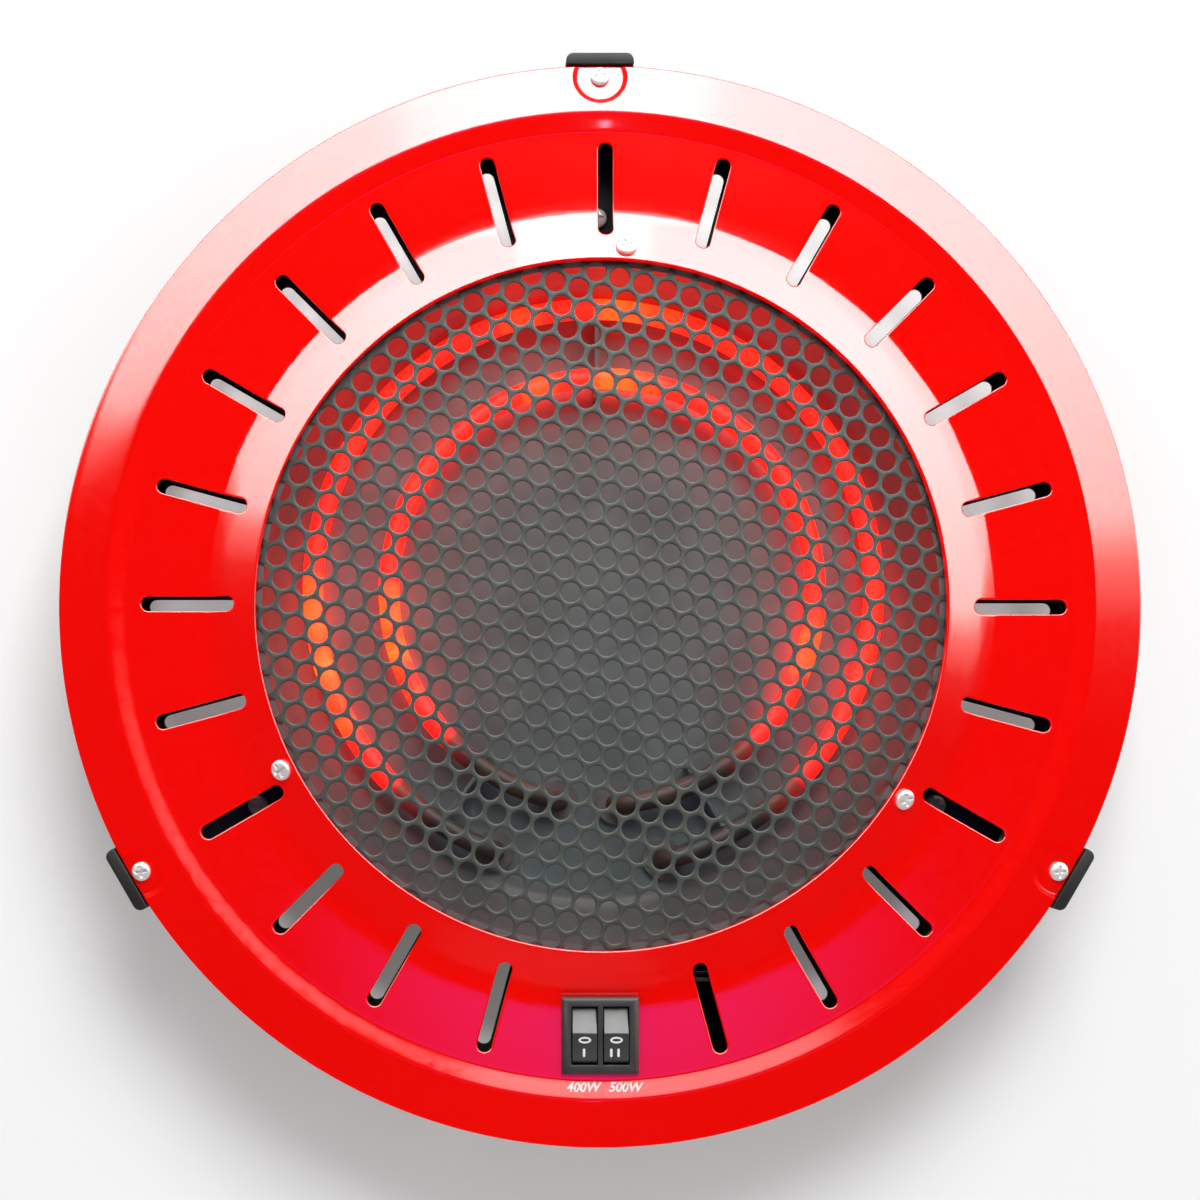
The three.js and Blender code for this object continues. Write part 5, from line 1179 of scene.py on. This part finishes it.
# %% Finishes of the carried-over nodes
SLOT_FINISHES = {
    "red_enamel": enamel, "dark_grille": grille_paint, "bright_reflector": bright_steel,
    "black_steel": black_steel, "heating_sheath": sheath, "black_plastic": leg_plastic,
    "switch_rocker": rocker_plastic, "zinc_screw": zinc, "ceramic": ceramic, "brass_contact": brass,
    "silicone_wire": silicone,
}
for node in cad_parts.values():
    for holder in node.material_slots:
        holder.material = SLOT_FINISHES[holder.material.name.split(".")[0]]
print("nodes dressed:", len(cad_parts))

# %% [markdown]
# ## Studio
# A white floor lies under the heater. To the camera it is white far off, with a painted shadow in front of the
# heater and painted light behind it. The world is white to the camera, an even grey as light, and in reflections
# it shows a bright panel behind the top of the picture and dark room elsewhere, which gives the enamel its white
# and red zones. A violet patch and a small lamp stand overhead.

# %% Floor
FLOOR_HALF = 3.0
FLOOR_NEAR, FLOOR_FAR = (0.185, 0.198), (0.5, 1.2)
FRONT_SHADE, FRONT_REACH = 0.55, (0.0, -0.12)
REAR_LIGHT, REAR_REACH = 0.34, (-0.08, 0.12)

floor_mesh = bpy.data.meshes.new("studio_floor")
corners = [(x * FLOOR_HALF, y * FLOOR_HALF, 0) for x, y in ((-1, -1), (1, -1), (1, 1), (-1, 1))]
floor_mesh.from_pydata(corners, [], [(0, 1, 2, 3)])
floor = linked("studio_floor", floor_mesh)
floor_paint = material("studio_floor", {"Roughness": 0.9, "Specular IOR Level": 0.2, "Emission Color": grey(1.0)})
tree, shader = inside(floor_paint)
tone = use(tree, tone_group, Color=grey(0.95), Other=grey(0.94), Scale=2.0)
seen = add(tree, "ShaderNodeLightPath").outputs["Is Camera Ray"]
depth = add(tree, "ShaderNodeSeparateXYZ", None, object_place(tree)).outputs["Y"]
# Painted shadow and painted light: near the heater the floor is painted darker in front and given emission behind.
shade = ramp(tree, radius_of(tree), *FLOOR_NEAR, 1.0, 0.0)
front = times(tree, shade, ramp(tree, depth, *FRONT_REACH))
rear = times(tree, shade, ramp(tree, depth, *REAR_REACH, 0.0, REAR_LIGHT))
far = ramp(tree, radius_of(tree), *FLOOR_FAR)
white = mix(tree, far, mix(tree, front, grey(1.0), grey(FRONT_SHADE)), grey(0.0))
feed(shader, {"Base Color": mix(tree, seen, tone, white),
              "Emission Strength": times(tree, seen, math_node(tree, "ADD", rear, far))})
floor_mesh.materials.append(floor_paint)

# %% World
PANEL, STRIP, VIOLET, SPARK = 10.5, 0.22, 1.1, 14.0
ZENITH_FILL, SIDE_FILL = 0.28, 0.85
PANEL_WAY, PANEL_LEAN, PANEL_LEVEL, PANEL_TOP = (0.139, 0.990, 0.0), 0.38, 0.77, (0.857, 0.848)
HORIZON = (0.2, 0.75, 0.85, 1.0)
STRIP_LOW, STRIP_MIDDLE, STRIP_SIDE = (0.39, 0.44), 0.02, (0.19, 0.13)
VIOLET_PLACE, VIOLET_EDGE, VIOLET_COLOUR = (0.07, -0.075, 0.9947), (0.02, 0.14), (0.03, 0.12, 1.0, 1)
SPARK_PLACE, SPARK_EDGE, SPARK_COLOUR = (0.06, -0.38, 0.923), (0.004, 0.009), (1, 0.7, 1, 1)
PANEL_TINTS = [(0.0, 0.0), (0.11, 0.004), (0.2, 0.015), (0.3, 0.15), (0.334, 0.29), (0.38, 0.54), (0.55, 0.65),
               (0.72, 0.75), (0.86, 0.82), (0.95, 0.88), (1.0, 0.90)]

world = bpy.data.worlds.new("studio_world")
bpy.context.scene.world = world
world.use_nodes = True
tree = world.node_tree
tree.nodes.clear()


def light(colour, strength):
    """One light of the world."""
    return add(tree, "ShaderNodeBackground", Color=colour, Strength=strength).outputs[0]


def spot(where, edge, strength):
    """The strength of a round spot of light: full at its middle, nought beyond its edge."""
    off = vector_node(tree, "LENGTH", vector_node(tree, "SUBTRACT", way, where))
    return ramp(tree, off, *edge, strength, 0.0)


path = add(tree, "ShaderNodeLightPath").outputs
way = add(tree, "ShaderNodeTexCoord").outputs["Generated"]
axes = add(tree, "ShaderNodeSeparateXYZ", None, way).outputs
level = vector_node(tree, "NORMALIZE", vector_node(tree, "MULTIPLY", way, (1, 1, 0)))
lean = times(tree, math_node(tree, "SUBTRACT", PANEL_LEVEL, axes["Z"]), PANEL_LEAN)
facing = math_node(tree, "ADD", vector_node(tree, "DOT_PRODUCT", level, PANEL_WAY), lean)
tint = colour_ramp(tree, facing, [(at, (value, value, value * (0.88 + 0.12 * value), 1)) for at, value in PANEL_TINTS])
horizon = add(tree, "ShaderNodeMapRange", None, axes["Z"], *HORIZON).outputs[0]
main = times(tree, ramp(tree, axes["Z"], *PANEL_TOP), horizon)
aside = math_node(tree, "ABSOLUTE", math_node(tree, "SUBTRACT", axes["X"], STRIP_MIDDLE))
strip = times(tree, ramp(tree, axes["Y"], *STRIP_LOW, 0.0, STRIP), ramp(tree, aside, *STRIP_SIDE))
mirror = light(tint, times(tree, math_node(tree, "ADD", main, strip), PANEL))
for colour, strength in ((VIOLET_COLOUR, spot(VIOLET_PLACE, VIOLET_EDGE, VIOLET)),
                         (SPARK_COLOUR, spot(SPARK_PLACE, SPARK_EDGE, SPARK))):
    mirror = add(tree, "ShaderNodeAddShader", None, mirror, light(colour, strength)).outputs[0]
low = math_node(tree, "POWER", math_node(tree, "SUBTRACT", 1.0, axes["Z"]), 2.0)
soft = math_node(tree, "ADD", times(tree, low, SIDE_FILL), ZENITH_FILL)
lit = add(tree, "ShaderNodeMixShader", None, path["Is Glossy Ray"], light(grey(1.0), soft), mirror).outputs[0]
shown = add(tree, "ShaderNodeMixShader", None, path["Is Camera Ray"], lit, light(grey(1.0), 1.0)).outputs[0]
add(tree, "ShaderNodeOutputWorld", None, shown)

# %% Lamps
LAMP_TARGET = Vector((0.0, 0.0, 0.05))
LAMPS = [("key_light", 14.5, 0.6, 1.45, 33.0, 8.0), ("front_light", 7.0, 0.9, 1.6, 70.0, 185.0)]


def area_lamp(name, energy, size, distance, lean, bearing):
    """A square lamp that looks at the heater, seen in no reflection."""
    data = bpy.data.lights.new(name, "AREA")
    data.shape, data.size, data.size_y, data.energy = "RECTANGLE", size, size, energy
    lamp = linked(name, data)
    lamp.location = polar(distance * math.sin(math.radians(lean)), bearing, distance * math.cos(math.radians(lean)))
    lamp.rotation_euler = (LAMP_TARGET - lamp.location).to_track_quat("-Z", "Y").to_euler()
    lamp.visible_glossy = False


for lamp_values in LAMPS:
    area_lamp(*lamp_values)

# %% Output settings
bpy.context.scene.view_settings.view_transform = "Standard"
